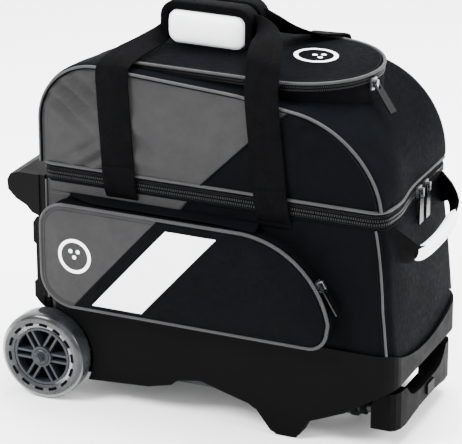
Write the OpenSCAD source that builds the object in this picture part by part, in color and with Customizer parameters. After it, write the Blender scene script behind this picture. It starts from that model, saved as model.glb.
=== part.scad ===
// Two-ball rolling bowling bag: moulded base tray on two wheels, zipped ball
// compartment, hinged shoe compartment with its own lid, and a two-stage pull
// handle that slides out from under the base.
// Millimetres, +Z up, origin on the floor under the middle of the bag. +X is
// the pull-handle end, -Y is the front with the pocket.

/* [Wheels] */
// Diameter of a wheel over its tyre
wheel_d = 127; // [120:1:130]
// Width of a tyre
wheel_w = 37; // [30:1:38]
// Distance from the bag's middle plane to the middle of a wheel
wheel_y = 137.5; // [137:0.5:140]
// Place of the axle along the bag
axle_x = -229; // [-230:1:-228]
// Diameter of the axle
axle_d = 8; // [8:0.5:9]

/* [Bag body] */
// Left end of the fabric body
body_left = -234; // [-235:1:-233]
// Right end of the fabric body at the main zip
zip_right = 256; // [250:1:256]
// Half width of the fabric body
body_half = 125; // [124:1:125]
// Height of the main zip above the floor
zip_z = 327; // [325:1:330]
// Height of the top of the shoe compartment at its left end
top_z = 487; // [484:1:489]
// Thickness of the padded fabric walls
wall = 3; // [2:0.5:4]

/* [Base tray] */
// Right end of the moulded tray
tray_right = 281; // [281:1:282]
// Half width of the tray
tray_half = 131; // [130:1:132]
// Height of the tray's upper edge
tray_top = 142; // [140:1:144]
// Thickness of the tray's walls
tray_wall = 3.5; // [3:0.5:3.5]
// Height of the upper side of the tray's floor
floor_z = 78; // [78:1:79]

/* [Lid] */
// Centre of the lid's round end along the bag
lid_round_x = 98; // [96:1:100]
// Radius of the lid's round end
lid_r = 106; // [104:1:107]
// Height of the lid's upper side
lid_top = 500; // [499:1:502]

/* [Pocket] */
// How far the front pocket stands out from the body
pocket_depth = 31; // [29:1:32]
// Height of the pocket's upper edge
pocket_top = 294; // [292:1:295]
// Height of the pocket's lower edge
pocket_bottom = 148; // [147:1:149]

/* [Pull handle] */
// Distance from the middle plane to each tube
tube_y = 92; // [91.5:0.5:92]
// Height of the tubes above the floor
tube_z = 50; // [49.5:0.5:50]
// Outer diameter of the fixed tubes
outer_d = 28.6; // [28.4:0.1:28.6]
// Outer diameter of the middle tubes
middle_d = 21; // [20.8:0.1:21]
// Outer diameter of the inner tubes
inner_d = 16; // [15.8:0.1:16]
// Right end of the grip
grip_right = 283; // [281:1:284]

/* [Carry straps] */
// Width of the webbing
web_w = 48; // [44:1:50]
// Thickness of the webbing
web_t = 2.5; // [2:0.5:3]

/* [Hidden] */

$fn = 48;
gap = 0.4;
wheel_r = wheel_d / 2;
axle_r = axle_d / 2;
running = 0.05;
body_r = 22;
// Radius of the tray's corners in plan
tray_r = 30;
floor_t = 4;
// Wheel wells: clearance radius, liner and the plane of their inner walls
well_r = wheel_r + 5;
well_t = 3;
well_y = wheel_y - wheel_w / 2 - 4;
// Handle tubes at rest
outer_x0 = -150;
outer_x1 = 212;
middle_x1 = 224;
inner_x1 = 248;
tube_t = 1.5;
collar_l = 8;
// Carry straps: middles of the two legs, top loop and padded grip
leg_left = -124.5;
leg_right = 89.5;
grip_x0 = -92;
grip_x1 = 28;
grip_z0 = 507;
grip_z1 = 560;
// Pull tabs of the zips
pull_l = 44;
pull_w = 14;
// The end of the body between the sliders' tracks
slider_x = zip_right + 2.6;
// Round right side of the pocket
pocket_cx = 66;
pocket_cz = 162;
pocket_r = 132;

black_cloth = [0.07, 0.07, 0.08];
grey_cloth = [0.39, 0.39, 0.40];
grey_trim = [0.45, 0.45, 0.46];
dark_plastic = [0.12, 0.12, 0.12];
webbing = [0.05, 0.05, 0.05];
clear_urethane = [0.68, 0.70, 0.72];
hub_plastic = [0.42, 0.47, 0.55];
steel = [0.70, 0.71, 0.73];
white_cloth = [0.94, 0.94, 0.95];
foam = [0.25, 0.25, 0.27];

// Points along an arc in a plane
function arc(cx, cy, r, from, to, steps = 8) =
    [for (i = [0:steps]) let (a = from + (to - from) * i / steps) [cx + r * cos(a), cy + r * sin(a)]];

// Rectangle with round corners, as points
function round_rect(x0, x1, y0, y1, r, steps = 6) = concat(
    arc(x1 - r, y1 - r, r, 0, 90, steps),
    arc(x0 + r, y1 - r, r, 90, 180, steps),
    arc(x0 + r, y0 + r, r, 180, 270, steps),
    arc(x1 - r, y0 + r, r, 270, 360, steps)
);

// Stands a drawing of X and Z up between two planes across Y
module across(y0, y1) {
    translate([0, y1, 0]) rotate([90, 0, 0]) linear_extrude(y1 - y0) children();
}

// Stands a drawing of Y and Z up between two planes along X
module along(x0, x1) {
    translate([x0, 0, 0]) rotate([90, 0, 90]) linear_extrude(x1 - x0) children();
}

// Cylinder lying across the bag
module rod(x, z, r, y0, y1) {
    translate([x, y1, z]) rotate([90, 0, 0]) cylinder(r = r, h = y1 - y0);
}

// Cylinder lying along the bag
module bar(y, z, r, x0, x1) {
    translate([x0, y, z]) rotate([0, 90, 0]) cylinder(r = r, h = x1 - x0);
}

// Repeats a part on the front and the back
module both_sides() {
    children();
    mirror([0, 1, 0]) children();
}

module box(x0, x1, y0, y1, z0, z1) {
    translate([x0, y0, z0]) cube([x1 - x0, y1 - y0, z1 - z0]);
}

// ---------------------------------------------------------------- base tray

// Side outline of the tray: level rim, arched skirt, foot and rising end
tray_outline = concat(
    [[body_left, tray_top], [body_left, 40]],
    [[-214, 32], [-163, 31], [-76, 37], [-41, 46], [-32, 54], [2, 60], [37, 50], [74, 40], [83, 34]],
    [[163, 31], [183, 39], [213, 52], [238, 68], [262, 83], [tray_right, 92]],
    [[tray_right, tray_top]]
);
foot_outline = [[83, 36], [106, 6], [114, 3], [142, 3], [149, 8], [161, 32], [161, 44], [83, 44]];

module wheel_wells(r, inner_y) {
    both_sides() rod(axle_x, wheel_r, r, -tray_half - 10, -inner_y);
}

module tray_plan(inset) {
    polygon(round_rect(body_left + inset, tray_right - inset, -tray_half + inset, tray_half - inset,
                       tray_r - inset));
}

// The rim dips in the middle of the right end
module rim_dip() {
    dip = 26;
    half = tray_half - 8;
    r = (half * half + dip * dip) / (2 * dip);
    translate([tray_right - tray_r, 0, tray_top - dip + r]) rotate([0, 90, 0]) cylinder(r = r, h = 40, $fn = 96);
}

module base_tray() {
    color(dark_plastic) difference() {
        union() {
            difference() {
                intersection() {
                    across(-tray_half, tray_half) polygon(tray_outline);
                    linear_extrude(tray_top) tray_plan(0);
                }
                linear_extrude(tray_top + 1) tray_plan(tray_wall);
            }
            // floor, which ramps up to the right end
            intersection() {
                across(-tray_half, tray_half) polygon([
                    [body_left + 1, floor_z - floor_t], [226, floor_z - floor_t],
                    [tray_right - 2, 100], [tray_right - 2, 104], [224, floor_z], [body_left + 1, floor_z]
                ]);
                linear_extrude(tray_top) tray_plan(1);
            }
            // solid feet behind the skirt
            both_sides() across(-tray_half + 0.6, -tray_half + 24) polygon(foot_outline);
            // liners of the wheel wells
            intersection() {
                difference() {
                    wheel_wells(well_r + well_t, well_y - well_t);
                    both_sides() box(-400, body_left, -200, 0, 0, 200);
                    both_sides() box(-400, 400, -200, 0, 0, 34);
                }
                linear_extrude(tray_top) tray_plan(0);
            }
        }
        wheel_wells(well_r, well_y);
        rim_dip();
        // slot that the axle drops into, through both liners and along the end wall
        rod(axle_x, wheel_r, axle_r, -well_y - 1, well_y + 1);
        box(axle_x - axle_r, axle_x + axle_r, -well_y - 1, well_y + 1, 0, wheel_r);
    }
}

module foot_pads() {
    color([0.08, 0.08, 0.08]) both_sides() box(112, 142, -tray_half + 4, -tray_half + 24, 0, 3);
}

// ---------------------------------------------------------------- axle

// Blocks under the floor, beside the round corners of the end wall
module axle_brackets() {
    y1 = tray_half - tray_r;
    bracket_w = 14;
    color(dark_plastic) both_sides() difference() {
        across(-y1, -y1 + bracket_w) polygon([
            [body_left + tray_wall, floor_z - floor_t], [axle_x + 24, floor_z - floor_t],
            [axle_x + 12, wheel_r - 12], [body_left + tray_wall, wheel_r - 12]
        ]);
        rod(axle_x, wheel_r, axle_r, -y1 - 1, -y1 + bracket_w + 1);
    }
}

module axle() {
    color(steel) rod(axle_x, wheel_r, axle_r, -wheel_y - wheel_w / 2 - 2, wheel_y + wheel_w / 2 + 2);
}

// Stepped bolt heads that keep the wheels on, with a washer under each
module axle_bolts() {
    face = wheel_y + wheel_w / 2;
    color(steel) both_sides() {
        rod(axle_x, wheel_r, 9, -face - 4, -face - 2);
        rod(axle_x, wheel_r, 6.5, -face - 9, -face - 4);
        rod(axle_x, wheel_r, 4.5, -face - 11.5, -face - 9);
    }
}

// ---------------------------------------------------------------- wheels

module tyre_ring() {
    half = wheel_w / 2;
    shoulder = 9;
    rotate_extrude($fn = 96) polygon(concat(
        [[42, -half + 3], [50, -half]],
        arc(wheel_r - shoulder, -half + shoulder, shoulder, 270, 360, 6),
        arc(wheel_r - shoulder, half - shoulder, shoulder, 0, 90, 6),
        [[50, half], [42, half - 3]]
    ));
}

module hub_body() {
    boss_r = 15;
    half = wheel_w / 2;
    difference() {
        union() {
            difference() {
                cylinder(r = 42, h = wheel_w - 6, center = true, $fn = 96);
                cylinder(r = 38.5, h = wheel_w, center = true, $fn = 96);
            }
            cylinder(r = boss_r, h = wheel_w - 2, center = true);
            // twelve spokes in six pairs
            for (i = [0:5]) for (s = [-1, 1]) rotate([0, 0, i * 60]) translate([8, s * 5 - 1.6, -9])
                cube([31.5, 3.2, 18 + 6]);
        }
        cylinder(r = 9, h = 2 * wheel_w, center = true);
        for (s = [-1, 1]) translate([0, 0, s * (half - 1 - 3.5)]) cylinder(r = 11, h = 7, center = true);
    }
}

module bearing_pair() {
    half = wheel_w / 2;
    for (s = [-1, 1]) translate([0, 0, s * (half - 1 - 3.5)]) difference() {
        cylinder(r = 11, h = 7, center = true);
        cylinder(r = axle_r + running, h = 8, center = true);
    }
}

module place_wheel(side) {
    translate([axle_x, side * wheel_y, wheel_r]) rotate([side * -90, 0, 0]) children();
}

module front_tyre() { color(clear_urethane) place_wheel(-1) tyre_ring(); }
module front_hub() { color(hub_plastic) place_wheel(-1) hub_body(); }
module front_bearings() { color(steel) place_wheel(-1) bearing_pair(); }
module back_tyre() { color(clear_urethane) place_wheel(1) tyre_ring(); }
module back_hub() { color(hub_plastic) place_wheel(1) hub_body(); }
module back_bearings() { color(steel) place_wheel(1) bearing_pair(); }

// ---------------------------------------------------------------- pull handle

module tube(r, x0, x1) {
    difference() {
        bar(-tube_y, tube_z, r, x0, x1);
        bar(-tube_y, tube_z, r - tube_t, x0 - 1, x1 + 1);
    }
}

module ring(r_out, r_in, x0, x1) {
    difference() {
        bar(-tube_y, tube_z, r_out, x0, x1);
        bar(-tube_y, tube_z, r_in, x0 - 1, x1 + 1);
    }
}

module outer_tubes() {
    color(steel) both_sides() tube(outer_d / 2, outer_x0, outer_x1);
}

module outer_collars() {
    color(dark_plastic) both_sides()
        ring(outer_d / 2 + 1.5, middle_d / 2 + running, outer_x1, outer_x1 + collar_l);
}

// Left ends of the two saddles on each tube, and the size of a saddle
saddle_x = [-120, 150];
saddle_l = 26;
saddle_half = outer_d / 2 + 2.7;
saddle_screw_r = 2;
module tube_saddles() {
    color(dark_plastic) both_sides() for (x = saddle_x) difference() {
        box(x, x + saddle_l, -tube_y - saddle_half, -tube_y + saddle_half, tube_z + 2, floor_z - floor_t);
        bar(-tube_y, tube_z, outer_d / 2, x - 1, x + saddle_l + 1);
        translate([x + saddle_l / 2, -tube_y, tube_z]) cylinder(r = saddle_screw_r, h = 40);
    }
}

module saddle_screws() {
    z = tube_z + outer_d / 2 + 1;
    color(steel) both_sides() for (x = saddle_x)
        translate([x + saddle_l / 2, -tube_y, z]) cylinder(r = saddle_screw_r, h = floor_z - floor_t - z);
}

module middle_tubes() {
    color(steel) both_sides() {
        tube(middle_d / 2, outer_x0 + 18, middle_x1);
        ring(outer_d / 2 - tube_t - running, middle_d / 2 - tube_t, outer_x0 + 10, outer_x0 + 18);
    }
}

module middle_collars() {
    color(dark_plastic) both_sides()
        ring(middle_d / 2 + 1.5, inner_d / 2 + running, middle_x1, middle_x1 + collar_l);
}

module inner_tubes() {
    color(steel) both_sides() {
        tube(inner_d / 2, outer_x0 + 30, inner_x1);
        ring(middle_d / 2 - tube_t - running, inner_d / 2 - tube_t, outer_x0 + 22, outer_x0 + 30);
    }
}

// Grip: two arms joined by a bar that bows outwards and is low in the middle
grip_bottom = 26;
grip_top = 80;
arm_x0 = 242;
arm_out = 108;
arm_in = 76;
bar_x0 = grip_right - 21;
// Middle of the release button
button_y = 8;
button_z = 47;
button_half_y = 12.6;
button_half_z = 7.6;

// Side outline of an arm; its upper edge follows the tray's rising end
arm_outline = [
    [arm_x0, grip_bottom], [arm_x0, 60], [arm_x0 + 3, 65], [arm_x0 + 8, 69], [262, 77], [270, grip_top],
    [grip_right, grip_top], [grip_right, grip_bottom]
];
arm_plan = [
    [arm_x0, -arm_out], [grip_right - 13, -arm_out], [grip_right - 7, -arm_out + 5],
    [grip_right - 3, -arm_out + 14], [grip_right - 1.5, -arm_in - 1], [grip_right - 1.5, -arm_in], [arm_x0, -arm_in]
];
// The bar seen along the bag, and from above
bar_outline = concat(
    [[-arm_in - 1, grip_bottom], [-60, 29], [-30, 33], [30, 33], [60, 29], [arm_in + 1, grip_bottom]],
    [[arm_in + 1, grip_top], [arm_in - 4, 74], [arm_in - 12, 66], [arm_in - 24, 60], [30, 58]],
    [[-30, 58], [-arm_in + 24, 60], [-arm_in + 12, 66], [-arm_in + 4, 74], [-arm_in - 1, grip_top]]
);
bar_plan = [
    [grip_right - 1.5, -arm_in - 1], [grip_right, -40], [grip_right, 40],
    [grip_right - 1.5, arm_in + 1], [bar_x0, arm_in + 1], [bar_x0, -arm_in - 1]
];

module pull_grip() {
    groove_r = 7;
    color(dark_plastic) difference() {
        union() {
            both_sides() intersection() {
                linear_extrude(grip_top + 1) polygon(arm_plan);
                across(-arm_out - 1, -arm_in + 1) polygon(arm_outline);
            }
            intersection() {
                linear_extrude(grip_top + 1) polygon(bar_plan);
                along(bar_x0 - 1, grip_right + 1) polygon(bar_outline);
            }
        }
        // sockets for the tubes
        both_sides() bar(-tube_y, tube_z, inner_d / 2, arm_x0 - 1, inner_x1);
        // finger groove along the inner side of the bar
        rod(bar_x0 - 2, button_z - 1, groove_r, -arm_in + 8, arm_in - 8);
        // recess of the release button and its spring
        box(grip_right - 9, grip_right + 1, button_y - button_half_y - gap, button_y + button_half_y + gap,
            button_z - button_half_z - gap, button_z + button_half_z + gap);
        bar(button_y, button_z, spring_r + 1, grip_right - spring_l - 5, grip_right - 8);
    }
}

module grip_screws() {
    color(steel) both_sides() translate([254, -tube_y, grip_bottom - 1.5]) cylinder(r = 3.5, h = 1.5);
}

module release_button() {
    color(dark_plastic) box(grip_right - 5, grip_right + 3, button_y - button_half_y, button_y + button_half_y,
                            button_z - button_half_z, button_z + button_half_z);
}

spring_r = 3.5;
spring_l = 8;
module button_spring() {
    color(steel) bar(button_y, button_z, spring_r, grip_right - spring_l - 5, grip_right - 5);
}

// ---------------------------------------------------------------- left end frame

module end_frame() {
    x1 = body_left - 2;
    x0 = x1 - 8;
    color(dark_plastic) {
        along(x0, x1) polygon([
            [-110, 46], [110, 46], [110, 134], [118, 142], [118, 318], [-118, 318], [-118, 142], [-110, 134]
        ]);
        both_sides() across(-112, -92) polygon([
            [x0, 119], [x0 - 8, 126], [x0 - 15, 134], [x0 - 15, 156], [x0 - 11, 160], [x0 - 11, 212],
            [x0 - 15, 216], [x0 - 15, 244], [x0 - 10, 252], [x0, 256]
        ]);
    }
}

module end_stand() {
    x1 = body_left - 10;
    color(dark_plastic) difference() {
        across(-120, 120) polygon([
            [x1, 318], [-276, 318], [-288, 314], [-293, 305], [-292, 291],
            [-280, 279], [-264, 271], [-256, 262], [x1, 258]
        ]);
        // hand hollow in the lower side
        across(-96, 96) polygon([[x1 + 1, 300], [-262, 306], [-280, 302], [-281, 250], [x1 + 1, 250]]);
        stand_screw_holes(x1);
    }
}

module stand_screw_holes(x1) {
    screw_y = 60;
    screw_z = 311;
    both_sides() bar(-screw_y, screw_z, 3, x1 - 2.5, x1);
}

module stand_screws() { color(steel) stand_screw_holes(body_left - 10); }

// ---------------------------------------------------------------- lower compartment

module lower_plate(x1, inset, z, t = 0.5) {
    translate([0, 0, z]) linear_extrude(t)
        polygon(round_rect(body_left + inset, x1 - inset, -body_half + inset, body_half - inset, body_r - inset));
}

module lower_form(inset, z0, z1) {
    hull() {
        lower_plate(zip_right, inset, z1 - 0.5);
        lower_plate(277, inset, 116 + inset);
        lower_plate(222, inset, z0);
    }
}

// Everything up to a height that is not inside the tray's walls
module beyond_tray(inset, z1) {
    difference() {
        box(-400, 400, -200, 200, 0, z1);
        linear_extrude(z1 + 1) tray_plan(tray_wall + inset);
    }
}

module lower_shell() {
    z0 = floor_z + 0.6;
    z1 = zip_z - 12;
    color(black_cloth) difference() {
        lower_form(0, z0, z1);
        // the cloth steps in behind the tray's walls and over the wheel wells
        beyond_tray(gap, tray_top + gap);
        wheel_wells(well_r + well_t + 1, well_y - well_t - 1);
        difference() {
            lower_form(wall, z0 + wall, z1 + 2);
            beyond_tray(gap + wall, tray_top + gap + wall);
            wheel_wells(well_r + well_t + 1 + wall, well_y - well_t - 1 - wall);
        }
    }
}

module bottom_board() {
    z = floor_z + wall + 1.2;
    color(foam) box(-150, 214, -114, 114, z, z + 4);
}

// Foam cradles with a dished seat for each ball
ball_r = 108;
ball_x = [-112, 122];
cup_r = 86;
cup_h = 30;
cup_z = floor_z + wall + 5.4;
module ball_cups() {
    color(foam) difference() {
        union() for (x = ball_x) translate([x, 0, cup_z]) cylinder(r = cup_r, h = cup_h);
        for (x = ball_x) translate([x, 0, cup_z + 6 + ball_r]) sphere(r = ball_r + 1, $fn = 64);
    }
}

module ball_divider() {
    color(foam) box(2, 8, -118, 118, cup_z, 300);
}

module body_ring(half_out, proud, z0, z1, thick) {
    translate([0, 0, z0]) linear_extrude(z1 - z0) difference() {
        polygon(round_rect(body_left - proud, zip_right + proud, -half_out - proud, half_out + proud,
                           body_r + proud));
        polygon(round_rect(body_left + thick, zip_right - thick, -half_out + thick, half_out - thick,
                           body_r - thick));
    }
}

// Lower half of the main zip: tape with a raised line of teeth
module lower_zip() {
    color(black_cloth) {
        body_ring(body_half, 0, zip_z - 12, zip_z - 3, 2);
        body_ring(body_half, 1.5, zip_z - 3, zip_z - gap, 2);
    }
}

// Piped seams up the four corners of the lower compartment
module corner_piping() {
    lean = atan((277 - zip_right) / (zip_z - 12 - 116));
    len = 166;
    color(grey_trim) both_sides() {
        translate([271.2, -body_half - 1.9 + 5, tray_top + 3]) rotate([0, -lean, 0]) cylinder(r = 2, h = len);
        translate([body_left + 6, -body_half - 2.1, tray_top + 3]) cylinder(r = 2, h = len);
    }
}

// Webbing ends and their box-stitched patches on the body
module strap_patches() {
    color(webbing) both_sides() for (x = [leg_left + 8, leg_right + 16])
        box(x - web_w / 2, x + web_w / 2, -body_half - 2.4, -body_half - 0.05, 298, 312);
}

// ---------------------------------------------------------------- pocket

function pocket_points(inset) = concat(
    arc(-190, pocket_top - 34, 34 - inset, 90, 180, 6),
    arc(-178, pocket_bottom + 46, 46 - inset, 180, 270, 6),
    arc(168, pocket_bottom + 26, 26 - inset, 270, 350, 6),
    arc(pocket_cx, pocket_cz, pocket_r - inset, 10, 90, 12)
);

// Fixed half of the pocket's side wall
module pocket_gusset() {
    color(black_cloth) difference() {
        across(-body_half - 17, -body_half - 0.4) polygon(pocket_points(0));
        across(-body_half - 18, -body_half - 2.5) polygon(pocket_points(2));
    }
}

// Front panel with the outer half of the side wall
module pocket_flap() {
    y1 = -body_half - 17.4;
    y0 = -body_half - pocket_depth;
    color(grey_cloth) difference() {
        across(y0, y1) polygon(pocket_points(0));
        across(y0 + 2.5, y1 + 1) polygon(pocket_points(2));
    }
}

module pocket_piping() {
    y0 = -body_half - pocket_depth;
    color(grey_trim) across(y0 - 0.8, y0 + 3.2) difference() {
        polygon(pocket_points(-3.5));
        polygon(pocket_points(0));
    }
}

// ---------------------------------------------------------------- shoe compartment

upper_z = zip_z + 14.4;
function upper_profile(inset, z0) = concat(
    [[body_left - 4 + inset, z0]],
    arc(-153, top_z - 85, 85 - inset, 180, 90, 10),
    arc(zip_right - 128, 343, 127 - inset, 90, 0, 14),
    [[zip_right - 1 - inset, z0]]
);

function lid_points(inset) = concat(
    arc(lid_round_x, 0, lid_r - inset, -90, 90, 16),
    arc(-106, lid_r - 24, 24 - inset, 90, 180, 5),
    arc(-106, -lid_r + 24, 24 - inset, 180, 270, 5)
);
lid_part_z = 488.2;

module upper_form(inset, z0) {
    intersection() {
        across(-body_half + inset, body_half - inset) polygon(upper_profile(inset, z0));
        translate([0, 0, zip_z]) linear_extrude(300) polygon(round_rect(
            body_left - 4 + inset, zip_right - 1 - inset, -body_half + inset, body_half - inset, body_r - inset));
    }
}

// Walls and top of the shoe compartment, open below and under the lid
module upper_shell() {
    color(black_cloth) difference() {
        upper_form(0, upper_z);
        upper_form(wall, upper_z - 5);
        translate([0, 0, 440]) linear_extrude(80) polygon(lid_points(wall));
    }
}

// Raised collar round the lid opening, with the fixed half of the lid's zip
module lid_rim() {
    color(black_cloth) difference() {
        translate([0, 0, 420]) linear_extrude(lid_part_z - 420 - gap) polygon(lid_points(0));
        translate([0, 0, 400]) linear_extrude(200) polygon(lid_points(wall));
        upper_form(0, upper_z);
    }
}

module upper_floor() {
    color(foam) translate([0, 0, upper_z + 0.2]) linear_extrude(4.5) polygon(round_rect(
        body_left - 4 + wall + 0.3, zip_right - 1 - wall - 0.3, -body_half + wall + 0.3, body_half - wall - 0.3,
        body_r - wall - 0.3));
}

module upper_zip() {
    color(black_cloth) {
        body_ring(body_half, 1.5, zip_z + gap, zip_z + 3, 2);
        body_ring(body_half, 0, zip_z + 3, zip_z + 14.4, 2);
    }
}

module upper_piping() {
    color(grey_trim) body_ring(body_half, 3, zip_z + 9.4, zip_z + 14.4, 0);
}

module lid_panel() {
    color(black_cloth) difference() {
        translate([0, 0, lid_part_z]) linear_extrude(lid_top - lid_part_z) polygon(lid_points(0));
        translate([0, 0, lid_part_z - 1]) linear_extrude(lid_top - lid_part_z - wall + 1) polygon(lid_points(2));
    }
}

module lid_piping() {
    color(grey_trim) difference() {
        translate([0, 0, lid_top - 5]) linear_extrude(5) polygon(lid_points(-2.5));
        translate([0, 0, lid_top - 6]) linear_extrude(7) polygon(lid_points(0));
        box(-140, -112, -120, 120, lid_top - 6, lid_top + 1);
    }
}

// ---------------------------------------------------------------- zip sliders and pulls

// Slider body facing +X with a loop on its face, at the origin
module slider_body() {
    box(0, 3.4, -6, 6, -8, 8);
    difference() {
        box(3.4, 9, -2, 2, -6, 6);
        box(3.4, 7.6, -3, 3, -4, 4);
    }
}

module at_main_slider(y) {
    translate([slider_x, y, zip_z]) children();
}

module main_slider_front() { color(steel) at_main_slider(8) slider_body(); }
module main_pull_front() { color(dark_plastic) at_main_slider(8) pull_tab(); }
module main_slider_back() { color(steel) at_main_slider(34) slider_body(); }
module main_pull_back() { color(dark_plastic) at_main_slider(34) pull_tab(); }

// Pull tab whose ring passes through the slider's loop, swung out from the body
pull_pivot = [5.5, 0, 1.5];
module pull_tab(swing = 0) {
    translate(pull_pivot) rotate([0, -swing, 0]) difference() {
        box(-1, 1, -pull_w / 2, pull_w / 2, -pull_l - 1.5, 1.5);
        box(-2, 2, -3, 3, -9.5, -1.5);
    }
}

// The lid's slider stands on the round end, turned about its centre
lid_slider_a = -12;
lid_pull_swing = 38;
module at_lid_slider() {
    translate([lid_round_x, 0, lid_part_z - 8]) rotate([0, 0, lid_slider_a])
        translate([lid_r + 0.6, 0, 0]) children();
}

module lid_slider() { color(steel) at_lid_slider() slider_body(); }
module lid_pull() {
    color(dark_plastic) at_lid_slider() pull_tab(lid_pull_swing);
}

// The pocket's slider stands on the round side, turned about its centre
pocket_slider_a = 32;
module at_pocket_slider() {
    translate([pocket_cx, -body_half - 16, pocket_cz]) rotate([0, -pocket_slider_a, 0])
        translate([pocket_r + 0.6, 0, 0]) children();
}

module pocket_slider() { color(steel) at_pocket_slider() slider_body(); }
module pocket_pull() {
    color(dark_plastic) at_pocket_slider() pull_tab();
}

// ---------------------------------------------------------------- carry straps

// Thin slab of webbing at a station of the strap's route
module station(p, across_w, tilt) {
    translate(p) rotate([tilt, 0, 0]) cube([across_w, web_t, web_t], center = true);
}

// One leg: up the face, over the lid's edge and in to the grip
module strap_leg(foot_x, leg_x, top_x) {
    face = -body_half - 4.6;
    points = [[foot_x, face, 300], [leg_x, face, 490], [leg_x, -112, 512], [top_x, -17, 530]];
    widths = [web_w, web_w, web_w, 26];
    tilts = [0, 30, 60, 0];
    for (i = [0:2]) hull() {
        station(points[i], widths[i], tilts[i]);
        station(points[i + 1], widths[i + 1], tilts[i + 1]);
    }
}

module carry_strap() {
    strap_leg(leg_left + 12, leg_left, grip_x0 - 14);
    strap_leg(leg_right + 20, leg_right, grip_x1 + 14);
    box(grip_x0 - 20, grip_x1 + 20, -18.2, -15.8, grip_z0 + 12, grip_z1 - 14);
}

module front_strap() { color(webbing) carry_strap(); }
module back_strap() { color(webbing) mirror([0, 1, 0]) carry_strap(); }

// Half of the padded grip, closed against the other half over both straps
module grip_pad(colour) {
    color(colour) difference() {
        across(-27, -1) polygon(round_rect(grip_x0, grip_x1, grip_z0, grip_z1, 16));
        across(-18.6, -0.5) polygon(round_rect(grip_x0 - 30, grip_x1 + 30, grip_z0 + 6, grip_z1 - 6, 4));
    }
}

module front_grip_pad() { grip_pad(white_cloth); }
module back_grip_pad() { mirror([0, 1, 0]) grip_pad(black_cloth); }

// ---------------------------------------------------------------- end handle

side_z0 = 262;
side_z1 = 310;
side_r = 150;
side_cx = 289 - side_r;

// Bowed strip in plan between two radii
module side_arc(r0, r1, half_angle, z0, z1) {
    translate([side_cx, -6, z0]) linear_extrude(z1 - z0)
        polygon(concat(arc(0, 0, r1, -half_angle, half_angle, 14), arc(0, 0, r0, half_angle, -half_angle, 14)));
}

// Webbing bow across the right end
module side_handle() {
    color(webbing) side_arc(side_r - web_t, side_r, 33, side_z0, side_z1);
}

module side_handle_pad() {
    color(white_cloth) side_arc(side_r + 0.3, side_r + 4, 20, side_z0 - 3, side_z1 + 3);
}

// ---------------------------------------------------------------- nodes

base_tray();
foot_pads();
axle_brackets();
axle();
axle_bolts();
outer_tubes();
outer_collars();
tube_saddles();
saddle_screws();
end_frame();
end_stand();
stand_screws();
lower_shell();
bottom_board();
ball_cups();
ball_divider();
lower_zip();
corner_piping();
pocket_gusset();
strap_patches();
front_tyre();
front_hub();
front_bearings();
back_tyre();
back_hub();
back_bearings();
middle_tubes();
middle_collars();
inner_tubes();
pull_grip();
grip_screws();
release_button();
button_spring();
upper_shell();
upper_floor();
upper_zip();
upper_piping();
lid_rim();
lid_panel();
lid_piping();
main_slider_front();
main_pull_front();
main_slider_back();
main_pull_back();
lid_slider();
lid_pull();
pocket_flap();
pocket_piping();
pocket_slider();
pocket_pull();
front_strap();
front_grip_pad();
back_strap();
back_grip_pad();
side_handle();
side_handle_pad();
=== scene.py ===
import math

import bmesh
import bpy
import numpy as np
from mathutils import Matrix, Vector, noise


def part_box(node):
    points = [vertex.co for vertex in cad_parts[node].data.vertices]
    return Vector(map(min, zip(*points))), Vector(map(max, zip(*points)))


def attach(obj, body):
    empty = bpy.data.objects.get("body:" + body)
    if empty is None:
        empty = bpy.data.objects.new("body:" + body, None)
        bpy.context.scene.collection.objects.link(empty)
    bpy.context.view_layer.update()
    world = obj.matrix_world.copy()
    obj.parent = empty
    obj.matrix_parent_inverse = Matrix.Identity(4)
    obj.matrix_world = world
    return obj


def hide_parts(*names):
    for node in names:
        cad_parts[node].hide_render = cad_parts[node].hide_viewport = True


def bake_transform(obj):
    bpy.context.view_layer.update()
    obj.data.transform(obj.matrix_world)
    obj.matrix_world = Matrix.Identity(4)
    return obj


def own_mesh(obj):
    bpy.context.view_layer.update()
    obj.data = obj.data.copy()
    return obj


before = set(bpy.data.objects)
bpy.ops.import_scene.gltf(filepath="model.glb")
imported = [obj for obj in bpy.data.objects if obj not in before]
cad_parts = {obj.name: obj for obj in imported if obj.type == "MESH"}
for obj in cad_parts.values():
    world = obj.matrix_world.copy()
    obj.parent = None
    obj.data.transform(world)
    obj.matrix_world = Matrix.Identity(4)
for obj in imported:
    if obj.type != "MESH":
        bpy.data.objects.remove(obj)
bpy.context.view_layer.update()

# ------------------------------------------------------------------ places taken from the frame, in metres
shell_lo, shell_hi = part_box("lower_shell")
upper_lo, upper_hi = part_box("upper_shell")
lid_lo, lid_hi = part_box("lid_panel")
flap_lo, flap_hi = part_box("pocket_flap")
tray_lo, tray_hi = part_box("base_tray")
strap_lo, strap_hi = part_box("front_strap")
pad_lo, pad_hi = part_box("front_grip_pad")
tyre_lo, tyre_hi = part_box("front_tyre")
side_lo, side_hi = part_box("side_handle")
side_pad_lo, side_pad_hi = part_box("side_handle_pad")
stand_lo, stand_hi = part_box("end_stand")

MM = 0.001
LEFT = shell_lo.x
HALF = shell_hi.y
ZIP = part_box("lower_zip")[1].z + 0.4 * MM
ZIP_RIGHT = upper_hi.x + 1 * MM
BASE_RIGHT = shell_hi.x
TOP = upper_hi.z
TRAY_TOP = tray_hi.z
LID_EDGE = lid_lo.z + 4.5 * MM
LID_R = lid_hi.y
LID_X = lid_hi.x - LID_R
PIPE = 2.3 * MM
AXLE = Vector(((tyre_lo.x + tyre_hi.x) / 2, 0, (tyre_lo.z + tyre_hi.z) / 2))
WHEEL_R = (tyre_hi.z - tyre_lo.z) / 2


# ------------------------------------------------------------------ small tools
def smooth(t):
    t = np.clip(t, 0, 1)
    return t * t * (3 - 2 * t)


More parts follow.
